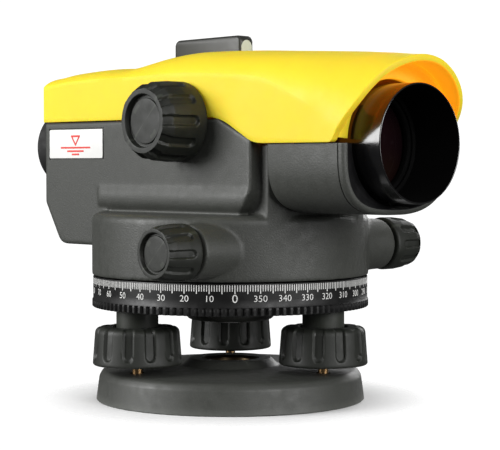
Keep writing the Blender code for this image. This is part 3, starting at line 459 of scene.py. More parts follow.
def cuboid(name, first, last, material):
    """A plain box between two corners, for cutting."""
    outline = [(first[0], first[1]), (last[0], first[1]), (last[0], last[1]), (first[0], last[1])]
    return prism(name, outline, last[2] - first[2], material, at(0, 0, (first[2] + last[2]) / 2))


def rod(name, radius, start, end, place=Matrix(), segments=96):
    """A plain round tool for cutting."""
    return lathe(name, [(0, end), (radius, end), (radius, start), (0, start)], steel, place, segments)


def swept(name, section, first, last, steps, material, sharp=32.0):
    """A closed section carried round the line of sight; section(turn) gives (radius, x) points."""
    bm = bmesh.new()
    rows = []
    for k in range(steps + 1):
        turn = first + (last - first) * k / steps
        rows.append([bm.verts.new((x, radius * cos(turn), OPTICAL_Z + radius * sin(turn)))
                     for radius, x in section(turn)])
    for row, after in zip(rows, rows[1:]):
        for k in range(len(row)):
            n = (k + 1) % len(row)
            bm.faces.new((row[k], row[n], after[n], after[k]))
    bm.faces.new(rows[0])
    bm.faces.new(rows[-1][::-1])
    return made(name, bm, material, sharp=sharp)


def hermite(stations, x):
    """A smooth curve through (x, value) stations, level at both ends."""
    if x <= stations[0][0]:
        return stations[0][1]
    if x >= stations[-1][0]:
        return stations[-1][1]

    def slope(i):
        if i in (0, len(stations) - 1):
            return 0.0
        before = (stations[i][1] - stations[i - 1][1]) / (stations[i][0] - stations[i - 1][0])
        after = (stations[i + 1][1] - stations[i][1]) / (stations[i + 1][0] - stations[i][0])
        return 0.0 if before * after <= 0 else 2 * before * after / (before + after)

    i = max(k for k in range(len(stations) - 1) if stations[k][0] <= x)
    (left, start), (right, end) = stations[i], stations[i + 1]
    width = right - left
    t = (x - left) / width
    return ((2 * t ** 3 - 3 * t ** 2 + 1) * start + (t ** 3 - 2 * t ** 2 + t) * width * slope(i)
            + (3 * t ** 2 - 2 * t ** 3) * end + (t ** 3 - t ** 2) * width * slope(i + 1))


def smoothstep(value):
    value = max(0.0, min(1.0, value))
    return value * value * (3 - 2 * value)


def flutes(count, width, depth, low_end, high_end, inner_r, edge=0.6, phase=0.0):
    """Finger grooves with round ends, between two heights on a knob's side, beyond inner_r."""
    def relief(angle, radius, height):
        if radius <= inner_r:
            return 0.0
        pitch = 2 * pi / count
        half = width / 2
        away = ((angle - phase + pitch / 2) % pitch - pitch / 2) * radius
        beyond = max(low_end + half - height, height - high_end + half, 0.0)
        return depth * smoothstep((half - hypot(away, beyond)) / edge)

    return relief


# ---------- base and foot screws

def base():
    """The base plate, hollow below, with a ball socket for each foot and a bush for the tripod."""
    bore_r, hub_top = 10.3, 14.7
    rim_r, hollow_r, hollow_top = 48.3, 43.5, 3.2
    profile = dense(rounded([
        (bore_r, hub_top, 0.3), (14.6, hub_top, 0.9), (17.6, 12.1, 1.8), (45.9, 10.9, 2.3), (47.2, 8.6, 3.0),
        (rim_r, 0.4), (rim_r - 0.4, 0.0), (hollow_r, 0.0), (hollow_r, hollow_top), (bore_r, hollow_top)]), 3)
    plate = lathe("base_plate_fine", profile, base_paint, segments=160)
    mouth_r, socket_r, socket_low, above = 2.6, 3.3, 1.0, 12
    pocket = [(0, above), (mouth_r, above), (mouth_r, 9.2), (socket_r, 7.0), (socket_r, socket_low),
              (0, socket_low)]
    sockets = [lathe("socket_" + foot, pocket, steel, at(spot.x, spot.y, 0), 40)
               for foot, spot in FEET.items()]
    piece(cut(plate, *sockets), "base", "base_paint", "base_plate")
    thread_r, pitch, depth = 7.94, 2.309, 0.35
    thread = [(thread_r + depth * (k % 2), 0.8 + pitch * k / 2) for k in range(12)]
    sleeve_r, flange_r, flange_low, flange_top = 10.0, 13.0, 0.5, 1.7
    bush = [(sleeve_r, 14.4), (sleeve_r, flange_top), (flange_r, flange_top), (flange_r, flange_low),
            (8.4, flange_low)] + thread
    piece(lathe("tripod_bush_fine", bush, dark_brass, segments=64), "base", "brass", "tripod_thread_bush")


def foot_screws():
    """Three fluted knobs on ball-ended brass spindles, each in a sleeve of the head."""
    bore_r, hub_r, hub_top = 3.3, 8.6, 21.3
    profile = dense(rounded([
        (bore_r, hub_top), (hub_r, hub_top), (hub_r, FOOT_TOP, 0.4), (FOOT_R - 1.0, FOOT_TOP, 2.2),
        (FOOT_R, FOOT_LOW, 0.9), (bore_r, FOOT_LOW)]), 0.55)
    grooves = flutes(12, 4.0, 1.05, FOOT_LOW + 2.0, FOOT_TOP + 6, 12.0, phase=radians(8))
    ball_r, ball_z = 2.9, 6.5
    ball = [(ball_r * sin(radians(d)), ball_z + ball_r * cos(radians(d))) for d in range(39, 180, 12)]
    thread_r, thread_top, pitch, depth = 3.0, 35.6, 1.0, 0.22
    thread = [(thread_r - depth * (k % 2), thread_top - pitch / 2 * k) for k in range(44)]
    spindle = [(0, 36.2), (2.5, 36.2)] + thread + [(2.6, 13.6), (1.8, 13.2)] + ball + [(0, ball_z - ball_r)]
    inner_r, outer_r, sleeve_low, sleeve_top = 4.4, 7.35, 24.0, 33.9
    sleeve = rounded([(inner_r, sleeve_top), (outer_r, sleeve_top), (outer_r, sleeve_low, 0.5),
                      (inner_r, sleeve_low)])
    for foot, spot in FEET.items():
        place = at(spot.x, spot.y, 0)
        body = "foot_screw_" + foot
        piece(lathe("foot_knob_%s_fine" % foot, profile, knob_black, place, 240, grooves, 50), body,
              "knob_plastic", "foot_knob_" + foot)
        piece(lathe("foot_spindle_%s_fine" % foot, spindle, brass, place, 40), body, "brass",
              "foot_spindle_" + foot)
        piece(lathe("foot_sleeve_%s_fine" % foot, sleeve, knob_black, place, 64), "tribrach",
              "knob_plastic", "foot_sleeve_" + foot)


def head():
    """The levelling head's round plate on its hub, and the washer under the turning axis."""
    bore_r, hub_r, step_r, plate_r = 8.3, 16.0, 36.0, 46.4
    hub_low, plate_low, plate_top, step_top = 28.6, 34.2, 38.6, 41.6
    profile = rounded([
        (bore_r, step_top), (step_r, step_top), (step_r, plate_top), (plate_r, plate_top, 0.5),
        (plate_r, plate_low, 0.8), (hub_r, plate_low, 1.5), (hub_r, hub_low, 2.2), (bore_r, hub_low)])
    piece(lathe("tribrach_fine", profile, paint, segments=120), "tribrach", "body_paint", "tribrach_body")
    washer_r, washer_low, washer_top = 7.6, 27.7, 28.3
    washer = rounded([(0, washer_top), (washer_r, washer_top, 0.15), (washer_r, washer_low, 0.15),
                      (0, washer_low)])
    piece(lathe("axis_washer_fine", washer, steel, segments=64), "tribrach", "steel", "axis_washer")


# ---------- horizontal circle

ZERO_AZIMUTH = radians(-40.72)    # where the scale's zero stands at rest
SCALE_R = CIRCLE_R - 0.35         # the band that carries the scale
GRIPS = 120


def ring_body():
    """The scale ring: a smooth band above a skirt with narrow grip grooves."""
    bore_r, web_low = 22, 42.7
    skirt_inner_r, skirt_top = CIRCLE_R - 2.3, CIRCLE_LOW + 2.7
    outline = [
        (bore_r, CIRCLE_TOP), (CIRCLE_R - 0.5, CIRCLE_TOP), (SCALE_R, CIRCLE_TOP - 0.2),
        (SCALE_R, skirt_top + 0.35), (CIRCLE_R - 0.1, skirt_top), (CIRCLE_R, skirt_top - 0.3),
        (CIRCLE_R, skirt_top - 0.9), (CIRCLE_R, CIRCLE_LOW + 0.3), (CIRCLE_R - 0.3, CIRCLE_LOW),
        (skirt_inner_r, CIRCLE_LOW), (skirt_inner_r, web_low), (bore_r, web_low)]
    depth, half_groove, groove_edge = 0.8, 0.20, 0.07

    def grips(angle, radius, height):
        if radius < CIRCLE_R - 0.32 or height > skirt_top - 0.25:
            return 0.0
        part = angle * GRIPS / (2 * pi) % 1.0
        return depth * smoothstep((half_groove - abs(part - 0.5)) / groove_edge)

    ring = lathe("circle_fine", dense(outline, 2.4), scale_black, segments=GRIPS * 6, relief=grips, sharp=40)
    piece(ring, "circle", "scale_plastic", "horizontal_circle")


def wrapped(bm, points, azimuth, height):
    """Places flat points (across, up, out) on the scale's band, read from outside."""
    verts = []
    for across, up, out in points:
        angle = azimuth + across / SCALE_R
        reach = SCALE_R + out
        verts.append(bm.verts.new((reach * cos(angle), reach * sin(angle), height + up)))
    return verts


def ring_marks():
    """White degree lines and a number every ten degrees, counting clockwise seen from above."""
    line_top = CIRCLE_TOP - 0.45
    number_middle = CIRCLE_TOP - 5.1
    wider = 1.06
    raised = 0.04
    bm = bmesh.new()
    for degree in range(360):
        length, half = (2.9, 0.17) if degree % 5 == 0 else (2.1, 0.14)
        azimuth = ZERO_AZIMUTH - radians(degree)
        corners = [(-half, 0), (half, 0), (half, -length), (-half, -length)]
        outer, inner = (wrapped(bm, [(across, up, out) for across, up in corners], azimuth, line_top)
                        for out in (raised, -raised))
        bm.faces.new(outer)
        bm.faces.new(inner[::-1])
        for k in range(4):
            n = (k + 1) % 4
            bm.faces.new((outer[n], outer[k], inner[k], inner[n]))
    for degree in range(0, 360, 10):
        text = bpy.data.curves.new("number", "FONT")
        text.body = str(degree)
        text.size = 4.0 if degree == 0 else 3.1
        text.align_x = text.align_y = "CENTER"
        text.extrude = raised
        text.offset = -0.02
        text.resolution_u = 3
        shown = linked("number", text)
        bpy.context.view_layer.update()
        flat = bpy.data.meshes.new_from_object(shown.evaluated_get(bpy.context.evaluated_depsgraph_get()))
        verts = wrapped(bm, [(vert.co.x * wider, vert.co.y, vert.co.z) for vert in flat.vertices],
                        ZERO_AZIMUTH - radians(degree), number_middle)
        for polygon in flat.polygons:
            bm.faces.new([verts[i] for i in polygon.vertices])
        bpy.data.objects.remove(shown)
        bpy.data.meshes.remove(flat)
    bmesh.ops.remove_doubles(bm, verts=bm.verts, dist=0.001)
    piece(made("circle_marks", bm, scale_white), "circle", "scale_plastic")


# ---------- alidade casting

def block():
    """The trough above the drum: its walls swell out, then turn under at the foot."""
    swell = BODY_HALF + BODY_SWELL
    foot = DRUM_TOP - 0.4
    front_top, slope_start, above = 92.6, 24, 120
    side = rounded([(BLOCK_REAR, foot, 3.0), (BLOCK_FRONT, foot, 11.0), (BLOCK_FRONT, front_top),
                    (slope_start, BODY_TOP), (BLOCK_REAR, BODY_TOP)], 10)
    half_section = [(BODY_HALF, above), (BODY_HALF, 76.8, 5.0), (swell, 73.6, 4.0), (swell, foot, 5.4)]
    section = rounded([(-across, up, *r) for across, up, *r in half_section] + half_section[::-1], 10)
    plan = rounded([(BLOCK_REAR, -swell - 1, 2.5), (BLOCK_FRONT, -swell - 1, 1.8),
                    (BLOCK_FRONT, swell + 1, 1.8), (BLOCK_REAR, swell + 1, 2.5)], 8)
    body = prism("block", side, 2 * swell, paint, SIDE_VIEW)
    trough = prism("trough", section, 200, paint, FRONT_VIEW)
    corners = prism("corners", plan, 120, paint, at(0, 0, 80))
    return combined(body, "INTERSECT", [trough, corners])


def openings():
    """Cutting tools for the eyepiece's hole at the rear and the focusing shaft's hole at the side."""
    eye_hole_r, shaft_hole_r = 12.3, 6.3
    return [rod("eye_hole", eye_hole_r, -80, -68, OPTICAL),
            rod("shaft_hole", shaft_hole_r, 22, 30, FOCUS_AXIS)]


def rear_lump():
    """The body's rear end, which hangs lower than the trough and is cut off slantwise."""
    lump_z, hidden_x = 54.5, -36
    outline = rounded([(BODY_REAR, BODY_TOP), (BODY_REAR, 70, 3), (-64.5, lump_z, 5.8), (hidden_x, lump_z),
                       (hidden_x, BODY_TOP)], 8)
    return prism("rear", outline, 2 * BODY_HALF, paint, SIDE_VIEW)


def neck():
    """The drum's wall carried up to the barrel, as a wedge of the drum with room for the barrel."""
    spread, steps = radians(28), 24
    hidden_x, half_width = 30, 23
    arc = [spread * (2 * k / steps - 1) for k in range(steps + 1)]
    outline = [(DRUM_R * cos(turn), DRUM_R * sin(turn)) for turn in arc]
    outline += [(hidden_x, half_width), (hidden_x, -half_width)]
    height, middle = 26, 78
    wedge = prism("neck", outline, height, paint, at(0, 0, middle))
    return cut(wedge, cuboid("room", (BARREL_BACK - 0.3, -40, 60), (70, 40, 100), paint))


def casting():
    """Drum, bosses, block, neck and rear lump as one casting with soft fillets."""
    drum = rounded([(0, DRUM_TOP), (DRUM_R, DRUM_TOP, 2.4), (DRUM_R, DRUM_LOW, 0.3), (0, DRUM_LOW)])
    solids = [lathe("drum", drum, paint, segments=256), block()]
    boss_face, boss_root = 45.9, 30
    boss = [(0, boss_face), (8.9, boss_face), (9.2, boss_face - 0.4), (9.5, 36), (9.9, boss_root),
            (0, boss_root)]
    for lay in (ALONG_Y, ALONG_MINUS_Y):
        solids.append(lathe("boss", boss, paint, at(SLOW.x, 0, SLOW.z) @ lay, 96))
    solids += [rear_lump(), neck()]
    bpy.ops.object.select_all(action="DESELECT")
    for solid in solids:
        solid.select_set(True)
    bpy.context.view_layer.objects.active = solids[0]
    bpy.ops.object.join()
    body = bpy.context.view_layer.objects.active
    body.name = "main_casting"
    fuse = body.modifiers.new("fuse", "REMESH")
    fuse.mode = "VOXEL"
    fuse.voxel_size = 0.55 * MM
    ease = body.modifiers.new("ease", "SMOOTH")
    ease.factor = 0.5
    ease.iterations = 7
    applied(body)
    body.data.materials.clear()
    body.data.materials.append(paint)
    margin = 0.5
    recess = cuboid("recess", (LABEL_LOW.x - margin, -30, LABEL_LOW.z - margin),
                    (LABEL_HIGH.x + margin, LABEL_HIGH.y + 0.1, LABEL_HIGH.z + margin), paint)
    cut(body, recess, *openings())
    smooth_shade(body, 45)
    piece(body, "alidade", "body_paint", "drum_housing", "body_housing")


def label():
    """A white plate in its recess, with the sign for a level surface: a triangle on a line."""
    middle, size = (LABEL_LOW + LABEL_HIGH) / 2, LABEL_HIGH - LABEL_LOW
    plate = prism("label_plate", rounded_bar(size.x / 2, size.z / 2, 0.6), size.y, label_white,
                  at(middle.x, middle.y, middle.z) @ SIDE_VIEW, 0.12)
    piece(plate, "alidade", "label", "name_plate")
    front = at(middle.x, LABEL_LOW.y - 0.03, middle.z) @ SIDE_VIEW
    thickness, half_line, corner = 0.1, 0.32, 0.2
    triangle = rounded([(-3.0, 3.2, corner), (3.0, 3.2, corner), (0, -0.9, corner)], 3)
    sign = prism("label_sign", triangle, thickness, label_red, front)
    opening = prism("opening", [(-1.7, 2.5), (1.7, 2.5), (0, 0.2)], 1, label_red, front)
    piece(cut(sign, opening), "alidade", "label")
    for index, (half, up) in enumerate(((9.0, -1.4), (5.0, -2.7), (2.2, -3.9))):
        line = rounded_bar(half, half_line, corner, up, 3)
        piece(prism("label_line_%d" % index, line, thickness, label_red, front), "alidade", "label")


# ---------- barrel and collar

def barrel_reach(turn):
    """How far the U-shaped barrel reaches from the line of sight in one direction."""
    depth = OPTICAL_Z - BARREL_LOW
    power = BARREL_NEAR_POWER if cos(turn) < 0 else BARREL_FAR_POWER
    return (abs(cos(turn) / BARREL_HALF) ** power + abs(sin(turn) / depth) ** power) ** (-1 / power)


def barrel():
    """The lower half of the barrel's housing, and the collar in front, whose funnel inside is painted near
    black as shade.
    """
    wall_front, hole_r = BARREL_BACK + 2.6, 17.1
    steps = 160

    def housing(turn):
        reach = barrel_reach(turn)
        return rounded([
            (reach, BARREL_BACK, 1.0), (reach, BARREL_FRONT, 0.2), (TUBE_ROOM_R, BARREL_FRONT),
            (TUBE_ROOM_R, wall_front), (hole_r, wall_front), (hole_r, BARREL_BACK)])

    def collar(turn):
        reach = barrel_reach(turn)
        lip = reach - 2.0
        return rounded([
            (reach, COLLAR_BACK, 0.2), (reach, COLLAR_FRONT, 1.4), (lip, COLLAR_FRONT, 0.4),
            ((lip + TUBE_ROOM_R) / 2, COLLAR_BACK + 0.9, 0.6), (TUBE_ROOM_R + 0.2, COLLAR_BACK + 0.3),
            (TUBE_ROOM_R, COLLAR_BACK)], 4)

    piece(swept("barrel_fine", housing, pi, 2 * pi, steps, paint), "alidade", "body_paint",
          "barrel_housing")
    ring = swept("collar_fine", collar, pi, 2 * pi, steps, paint, 50)
    # The collar's inward funnel gets near-black paint: painted shade in the recess.
    second_material(ring, inside_black_and_painted_shade,
                    lambda face, spot: face.normal.x > 0.3 and face.normal.dot(outward(spot)) < 0)
    piece(ring, "alidade", "body_paint", "objective_collar")


# ---------- cover and hood

COVER_WALL = 2.4
HOOD_START = 68.0
REAR_ROUND = 1.6
CREST = [(-76, 118.2), (-62, 119.5), (-44, 120.2), (-36, 120.0), (-28, 120.7), (-20, 122.3), (-12, 123.7),
         (0, 124.5), (20, 124.0), (45, 122.7), (66, 121.6), (80, 120.6), (HOOD_TIP, 119.6)]
CREASE = [(-76, 113.6), (-60, 115.0), (-40, 115.6), (-22, 115.6), (0, 116.0), (28, 114.7), (45, 113.0),
          (60, 107), (80, 98), (HOOD_TIP, 95)]
HALF_WIDTH = [(-76, 27.8), (-60, BODY_HALF), (44, BODY_HALF), (70, 28.4), (HOOD_TIP, 28.3)]
LOWER_EDGE = [(20, 100.3), (24.5, 99.7), (28, 98.5), (35, 94.9), (42, 91.7), (46, 91.3), (90.5, 91.3),
              (HOOD_TIP, 92.2)]
HOOD_RIM = [(0, 78), (12.5, 81.8), (21, 84.8), (31, 87.4), (42, 89.2), (57, 90.9), (75, 92.4),
            (90, HOOD_TIP)]
SQUARENESS = [(-44, 2.60), (-30, 2.15), (-14, 2.20), (50, 2.45), (80, 2.10), (HOOD_TIP, 1.95)]


def cover_row(x):
    """(across, up) points over the cover at one place along X, from the right edge to the left."""
    half, foot = hermite(HALF_WIDTH, x), hermite(LOWER_EDGE, x)
    crease, crest = hermite(CREASE, x), hermite(CREST, x)
    crease_end, fade = 45, 28
    creased = 1 - smoothstep((x - crease_end) / fade)
    power = hermite(SQUARENESS, x) + 0.4 * creased
    reach = half * (1 + 0.04 * creased)

    def rise(across):
        return max(0.0, 1 - (abs(across) / reach) ** power) ** (1 / power)

    wall_steps, crown_steps = 10, 30
    right = [(half, foot + (crease - foot) * k / wall_steps) for k in range(wall_steps)]
    for step in range(crown_steps + 1):
        across = half * cos(pi / 2 * step / crown_steps) ** (2 / power)
        up = crease + (crest - crease) * (rise(across) - rise(half)) / (1 - rise(half))
        right.append((across, up))
    return [(-across, up) for across, up in right] + right[-2::-1]


def rim_at(turn):
    """How far forward the hood's rim reaches, by the angle above the line of sight's level."""
    rise = degrees(turn)
    return hermite(HOOD_RIM, min(rise, 180 - rise))


def cover_sheet():
    """The outer surface of the cover and hood, closed at the rear."""
    bm = bmesh.new()
    hidden, rim = 0.15, REAR_ROUND / BODY_HALF
    end_steps, steps = 8, 96
    rows = [(COVER_REAR, hidden + (1 - hidden - rim) * k / end_steps) for k in range(end_steps + 1)]
    for k in range(1, end_steps + 1):
        turn = pi / 2 * k / end_steps
        rows.append((COVER_REAR + REAR_ROUND * (1 - cos(turn)), 1 - rim * (1 - sin(turn))))
    start = COVER_REAR + REAR_ROUND
    rows += [(start + (HOOD_TIP - start) * k / steps, 1.0) for k in range(1, steps + 1)]
    grid = []
    for x, shrink in rows:
        line = []
        foot = hermite(LOWER_EDGE, x)
        for across, up in cover_row(x):
            reach = x
            if x > HOOD_START:
                part = (x - HOOD_START) / (HOOD_TIP - HOOD_START)
                reach = HOOD_START + (rim_at(atan2(up - OPTICAL_Z, abs(across))) - HOOD_START) * part
            line.append(bm.verts.new((reach, across * shrink, foot + (up - foot) * shrink)))
        grid.append(line)
    for first, second in zip(grid, grid[1:]):
        for k in range(len(first) - 1):
            bm.faces.new((first[k], first[k + 1], second[k + 1], second[k]))
    sheet = made("cover_fine", bm, yellow)
    highest = max(sheet.data.polygons, key=lambda face: face.center.z)
    if highest.normal.z < 0:
        sheet.data.flip_normals()
    return sheet


def ease_rims(thing, width, segments, chosen):
    """Rounds the right-angled edges of a sheet whose middles are chosen."""
    bm = bmesh.new()
    bm.from_mesh(thing.data)
    edges = []
    for edge in bm.edges:
        middle = (edge.verts[0].co + edge.verts[1].co) / 2 / MM
        if len(edge.link_faces) == 2 and edge.calc_face_angle() > radians(60) and chosen(middle):
            edges.append(edge)
    bmesh.ops.bevel(bm, geom=edges, offset=width * MM, segments=segments, profile=0.5, affect="EDGES",
                    clamp_overlap=True)
    bm.to_mesh(thing.data)
    bm.free()


def cover():
    """The yellow cover with its wall, eased rims, slot for the sight and a painted orange glow inside the
    hood.
    """
    sheet = cover_sheet()
    wall = sheet.modifiers.new("wall", "SOLIDIFY")
    wall.thickness = COVER_WALL * MM
    wall.offset = -1
    wall.use_even_offset = True
    applied(sheet)

    hood_back, hood_foot, low_rims = 78, 94.5, 101

    def on_hood(spot):
        return spot.z > hood_foot and spot.x > hood_back

    def inside_hood(face, spot):
        faces_in = face.normal.dot(outward(spot)) < -0.35
        return faces_in and spot.x > HOOD_START and spot.z > OPTICAL_Z

    ease_rims(sheet, 0.9, 4, on_hood)
    ease_rims(sheet, 0.25, 2, lambda spot: not on_hood(spot) and spot.z < low_rims)
    gap = 0.3
    slot = cuboid("slot", (SIGHT_LOW.x - gap, SIGHT_LOW.y - gap, 105),
                  (SIGHT_HIGH.x + gap, SIGHT_HIGH.y + gap, 140), yellow)
    cut(sheet, slot, *openings())
    # The faces inside the hood take the painted orange glow.
    second_material(sheet, hood_inside_painted_glow, inside_hood)
    smooth_shade(sheet, 40)
    piece(sheet, "alidade", "cover_plastic", "top_cover")


def hood_reach(turn, x):
    """From the line of sight out to the middle of the hood's wall, at a true place along X."""
    along_cover = HOOD_START + (HOOD_TIP - HOOD_START) * (x - HOOD_START) / (rim_at(turn) - HOOD_START)
    spots = [(atan2(up - OPTICAL_Z, across), hypot(across, up - OPTICAL_Z))
             for across, up in cover_row(min(along_cover, HOOD_TIP))]
    for (first, near), (second, far) in zip(spots, spots[1:]):
        if first <= turn <= second:
            return near + (far - near) * (turn - first) / (second - first) - COVER_WALL / 2
    return (spots[0] if turn < spots[0][0] else spots[-1])[1] - COVER_WALL / 2


def hood_wall():
    """The wall round the tube, which curves forward into the hood: plain yellow low down, the hood's painted
    orange glow above.
    """
    front, back, hole_r = 78.4, 76.8, 21.1
    foot_turn, yellow_top = radians(4.2), OPTICAL_Z + 14
    steps, bend_steps = 96, 6

    def section(turn):
        reach = hood_reach(turn, front)
        inner = reach - COVER_WALL / 2
        curve = max(0.2, min(3.6, rim_at(turn) - 0.7 - front, inner - hole_r - 1.0))
        outline = [(reach, back), (reach, front + curve)]
        for k in range(bend_steps + 1):
            bend = pi / 2 * k / bend_steps
            outline.append((inner - curve * (1 - cos(bend)), front + curve * (1 - sin(bend))))
        return outline + [(hole_r + 0.5, front), (hole_r + 0.15, front - 0.15), (hole_r, front - 0.5),
                          (hole_r, back)]

    wall = swept("hood_wall", section, foot_turn, pi - foot_turn, steps, hood_inside_painted_glow, 40)
    # Faces low down turn plain yellow; those above keep the painted glow.
    second_material(wall, yellow, lambda face, spot: spot.z < yellow_top)
    piece(wall, "alidade", "cover_plastic")


def sight():
    """The open sight: a black bar with rounded ends, an arched window in front and a peep behind."""
    back, front = SIGHT_LOW.x, SIGHT_HIGH.x
    top, foot = SIGHT_HIGH.z, SIGHT_LOW.z
    width = SIGHT_HIGH.y - SIGHT_LOW.y
    outline = rounded([(back, foot), (back, top + 0.2, 2.4), (front, top + 0.4, 2.4), (front, foot)], 8)
    bar = prism("sight_fine", outline, width, sight_black, SIDE_VIEW, 1.2)
    half, sill, spring = 2.7, foot + 4.5, top - 3.9
    arch = [(-half, sill), (half, sill)]
    arch += [(half * cos(pi * k / 16), spring + half * sin(pi * k / 16)) for k in range(17)]
    depth = 0.5
    mouth = prism("mouth", arch, 2 * depth, sight_black, at(front, 0, 0) @ FRONT_VIEW)
    peep_place = at(0, 0, (low("sight_rear_lens").z + high("sight_rear_lens").z) / 2) @ ALONG_X
    peep = rod("peep", 2.2, back - 1, back + 1.6, peep_place, 48)
    cut(bar, mouth, peep)
    piece(bar, "alidade", "sight_plastic", "sight_body")
    pane = prism("sight_front_fine", [(a * 0.94, u) for a, u in arch], depth, window,
                 at(front - depth * 0.6, 0, 0) @ FRONT_VIEW, 0.1)
    piece(pane, "alidade", "clear_glass", "sight_front_lens")
    eye_r, eye_low, eye_high = 2.0, back + 0.9, back + 1.0
    turns = [pi / 2 * k / 6 for k in range(7)]
    eye = [(eye_r * sin(turn), eye_high + 0.5 * cos(turn)) for turn in turns]
    eye += [(eye_r * cos(turn), eye_low - 0.4 * sin(turn)) for turn in turns]
    piece(lathe("sight_rear_fine", eye, window, peep_place, 48), "alidade", "clear_glass",
          "sight_rear_lens")


# ---------- objective and knobs

def objective():
    """The polished lens tube, dull inside, with its lens, the lens's ring and a baffle."""
    lip, bore_r, mouth_r, cell_r, step_x = 0.32, 17.7, 18.9, 20.2, 55.5
    outline = rounded([
        (bore_r, TUBE_BACK), (bore_r, 71.5), (mouth_r, 71.8), (mouth_r + 0.1, TUBE_MOUTH, lip * 0.9),
        (TUBE_R, TUBE_MOUTH, lip), (TUBE_R, step_x), (cell_r, step_x), (cell_r, TUBE_BACK)], 4)
    tube = lathe("objective_tube_fine", outline[::-1], tube_black, OPTICAL, 192, sharp=40)
    second_material(tube, bore_black,
                    lambda face, spot: hypot(spot.y, spot.z - OPTICAL_Z) < mouth_r + 0.15)
    piece(tube, "alidade", "tube_lacquer", "objective_tube")
    glass_r, ring_low, ring_top = 17.4, 69.0, 71.0
    ring = rounded([(16.2, ring_low), (16.2, 70.4, 0.2), (16.7, ring_top, 0.15), (glass_r, ring_top),
                    (glass_r, ring_low)], 3)
    piece(lathe("lens_ring_fine", ring[::-1], bore_black, OPTICAL, 128), "alidade", "tube_lacquer",
          "objective_lens_ring")
    lens_back, lens_front, bulge, steps = 64.2, 67.8, 1.8, 16
    dome = [(glass_r * k / steps, bulge * (1 - (k / steps) ** 2)) for k in range(steps + 1)]
    shape = [(reach, lens_front + out) for reach, out in dome]
    shape += [(reach, lens_back - out) for reach, out in dome[::-1]]
    piece(lathe("objective_lens_fine", shape, lens, OPTICAL, 128), "alidade", "coated_glass",
          "objective_lens")
    baffle_low, baffle_r = 54.0, 17.6
    baffle = rounded([(9.0, baffle_low), (9.0, 54.8, 0.2), (baffle_r, 55.4), (baffle_r, baffle_low)], 3)
    piece(lathe("tube_baffle", baffle[::-1], inside_black_and_painted_shade, OPTICAL, 96), "alidade", "tube_lacquer")


def side_knob(name, body_r, rim_r, back, face, count, groove, shaft_r, place, body, *nodes):
    """A fluted knob: a raised rim round a sunk disc, and finger grooves down its side."""
    inner_r = rim_r - rim_r * 0.20
    sunk = face - rim_r * 0.13
    trench = sunk - rim_r * 0.05
    disc_r = inner_r - rim_r * 0.10
    length = face - back
    shoulder = face - length * 0.20
    bore_r, bore_end = shaft_r + 0.3, face - 4.8
    outline = rounded([
        (0, sunk + 0.12), (disc_r * 0.80, sunk + 0.05, 0.3), (disc_r, sunk, 0.25),
        (disc_r + 0.1, trench, 0.1), (inner_r, trench, 0.2), (inner_r + 0.25, face, 0.35),
        (rim_r, face, 0.5), (body_r - 0.55, shoulder, length * 0.10), (body_r, back + length * 0.42, 3.0),
        (body_r, back, 1.1), (bore_r, back), (bore_r, bore_end), (0, bore_end)], 7)
    grooves = flutes(count, groove, groove * 0.27, back + length * 0.22, face + 2, rim_r - 0.15,
                     groove * 0.16)
    knob = lathe(name + "_fine", dense(outline, 0.42), knob_black, place, 220, grooves, 50)
    piece(knob, body, "knob_plastic", *nodes)


def side_knobs():
    back, face = low("slow_motion_knob_left").y, high("slow_motion_knob_left").y
    for side, lay in (("left", ALONG_Y), ("right", ALONG_MINUS_Y)):
        side_knob("slow_knob_" + side, 9.6, 8.3, back, face, 10, 3.1, 3.0, at(SLOW.x, 0, SLOW.z) @ lay,
                  "slow_motion", "slow_motion_knob_" + side, "slow_motion_cap_" + side)
    back, face = -high("focus_knob").y, -low("focus_knob").y
    body_r = (high("focus_knob").x - low("focus_knob").x) / 2
    side_knob("focus_knob", body_r, 11.1, back, face, 11, 4.1, 2.5, FOCUS_AXIS, "focus_drive", "focus_knob",
              "focus_knob_cap")


# ---------- eyepiece and round level

def eyepiece():
    """The sleeve in the body's rear wall, the fluted diopter ring round it and the rubber eyecup."""
    bore_r, stem_r, outer_r = 10.4, 12.0, 14.0
    front, flange, stem_end = -58, -71, -80
    sleeve = rounded([(bore_r, front), (outer_r, front, 0.4), (outer_r, flange, 0.4), (stem_r, flange, 0.3),
                      (stem_r, stem_end, 0.3), (bore_r, stem_end)], 4)
    piece(lathe("eyepiece_sleeve_fine", sleeve, paint, OPTICAL, 96), "alidade", "body_paint",
          "eyepiece_sleeve")
    room_r, room_end, ring_front, ring_back = 12.4, -80.6, -76.5, -89.5
    ring = rounded([(room_r, ring_front), (outer_r, ring_front, 0.7), (outer_r, ring_back, 0.7),
                    (bore_r, ring_back, 0.2), (bore_r, room_end), (room_r, room_end)], 5)
    grooves = flutes(14, 2.6, 0.9, -88.0, -78.5, 13.5, 0.5)
    profile = dense(ring + ring[:1], 0.5)[:-1]
    piece(lathe("diopter_ring_fine", profile, knob_black, OPTICAL, 196, grooves, 50), "diopter",
          "knob_plastic", "diopter_ring")
    eye_r, cup_front, tip = 9.4, -89.8, low("eyecup").x
    cup = rounded([(eye_r, cup_front), (13.8, cup_front, 0.3), (14.3, -91.0, 1.2), (15.7, tip, 0.3),
                   (14.8, tip, 0.3), (13.0, -92.0, 1.5), (eye_r, -91.2, 0.3)], 5)
    piece(lathe("eyecup_fine", cup, rubber, OPTICAL, 128), "diopter", "eyecup_rubber", "eyecup")


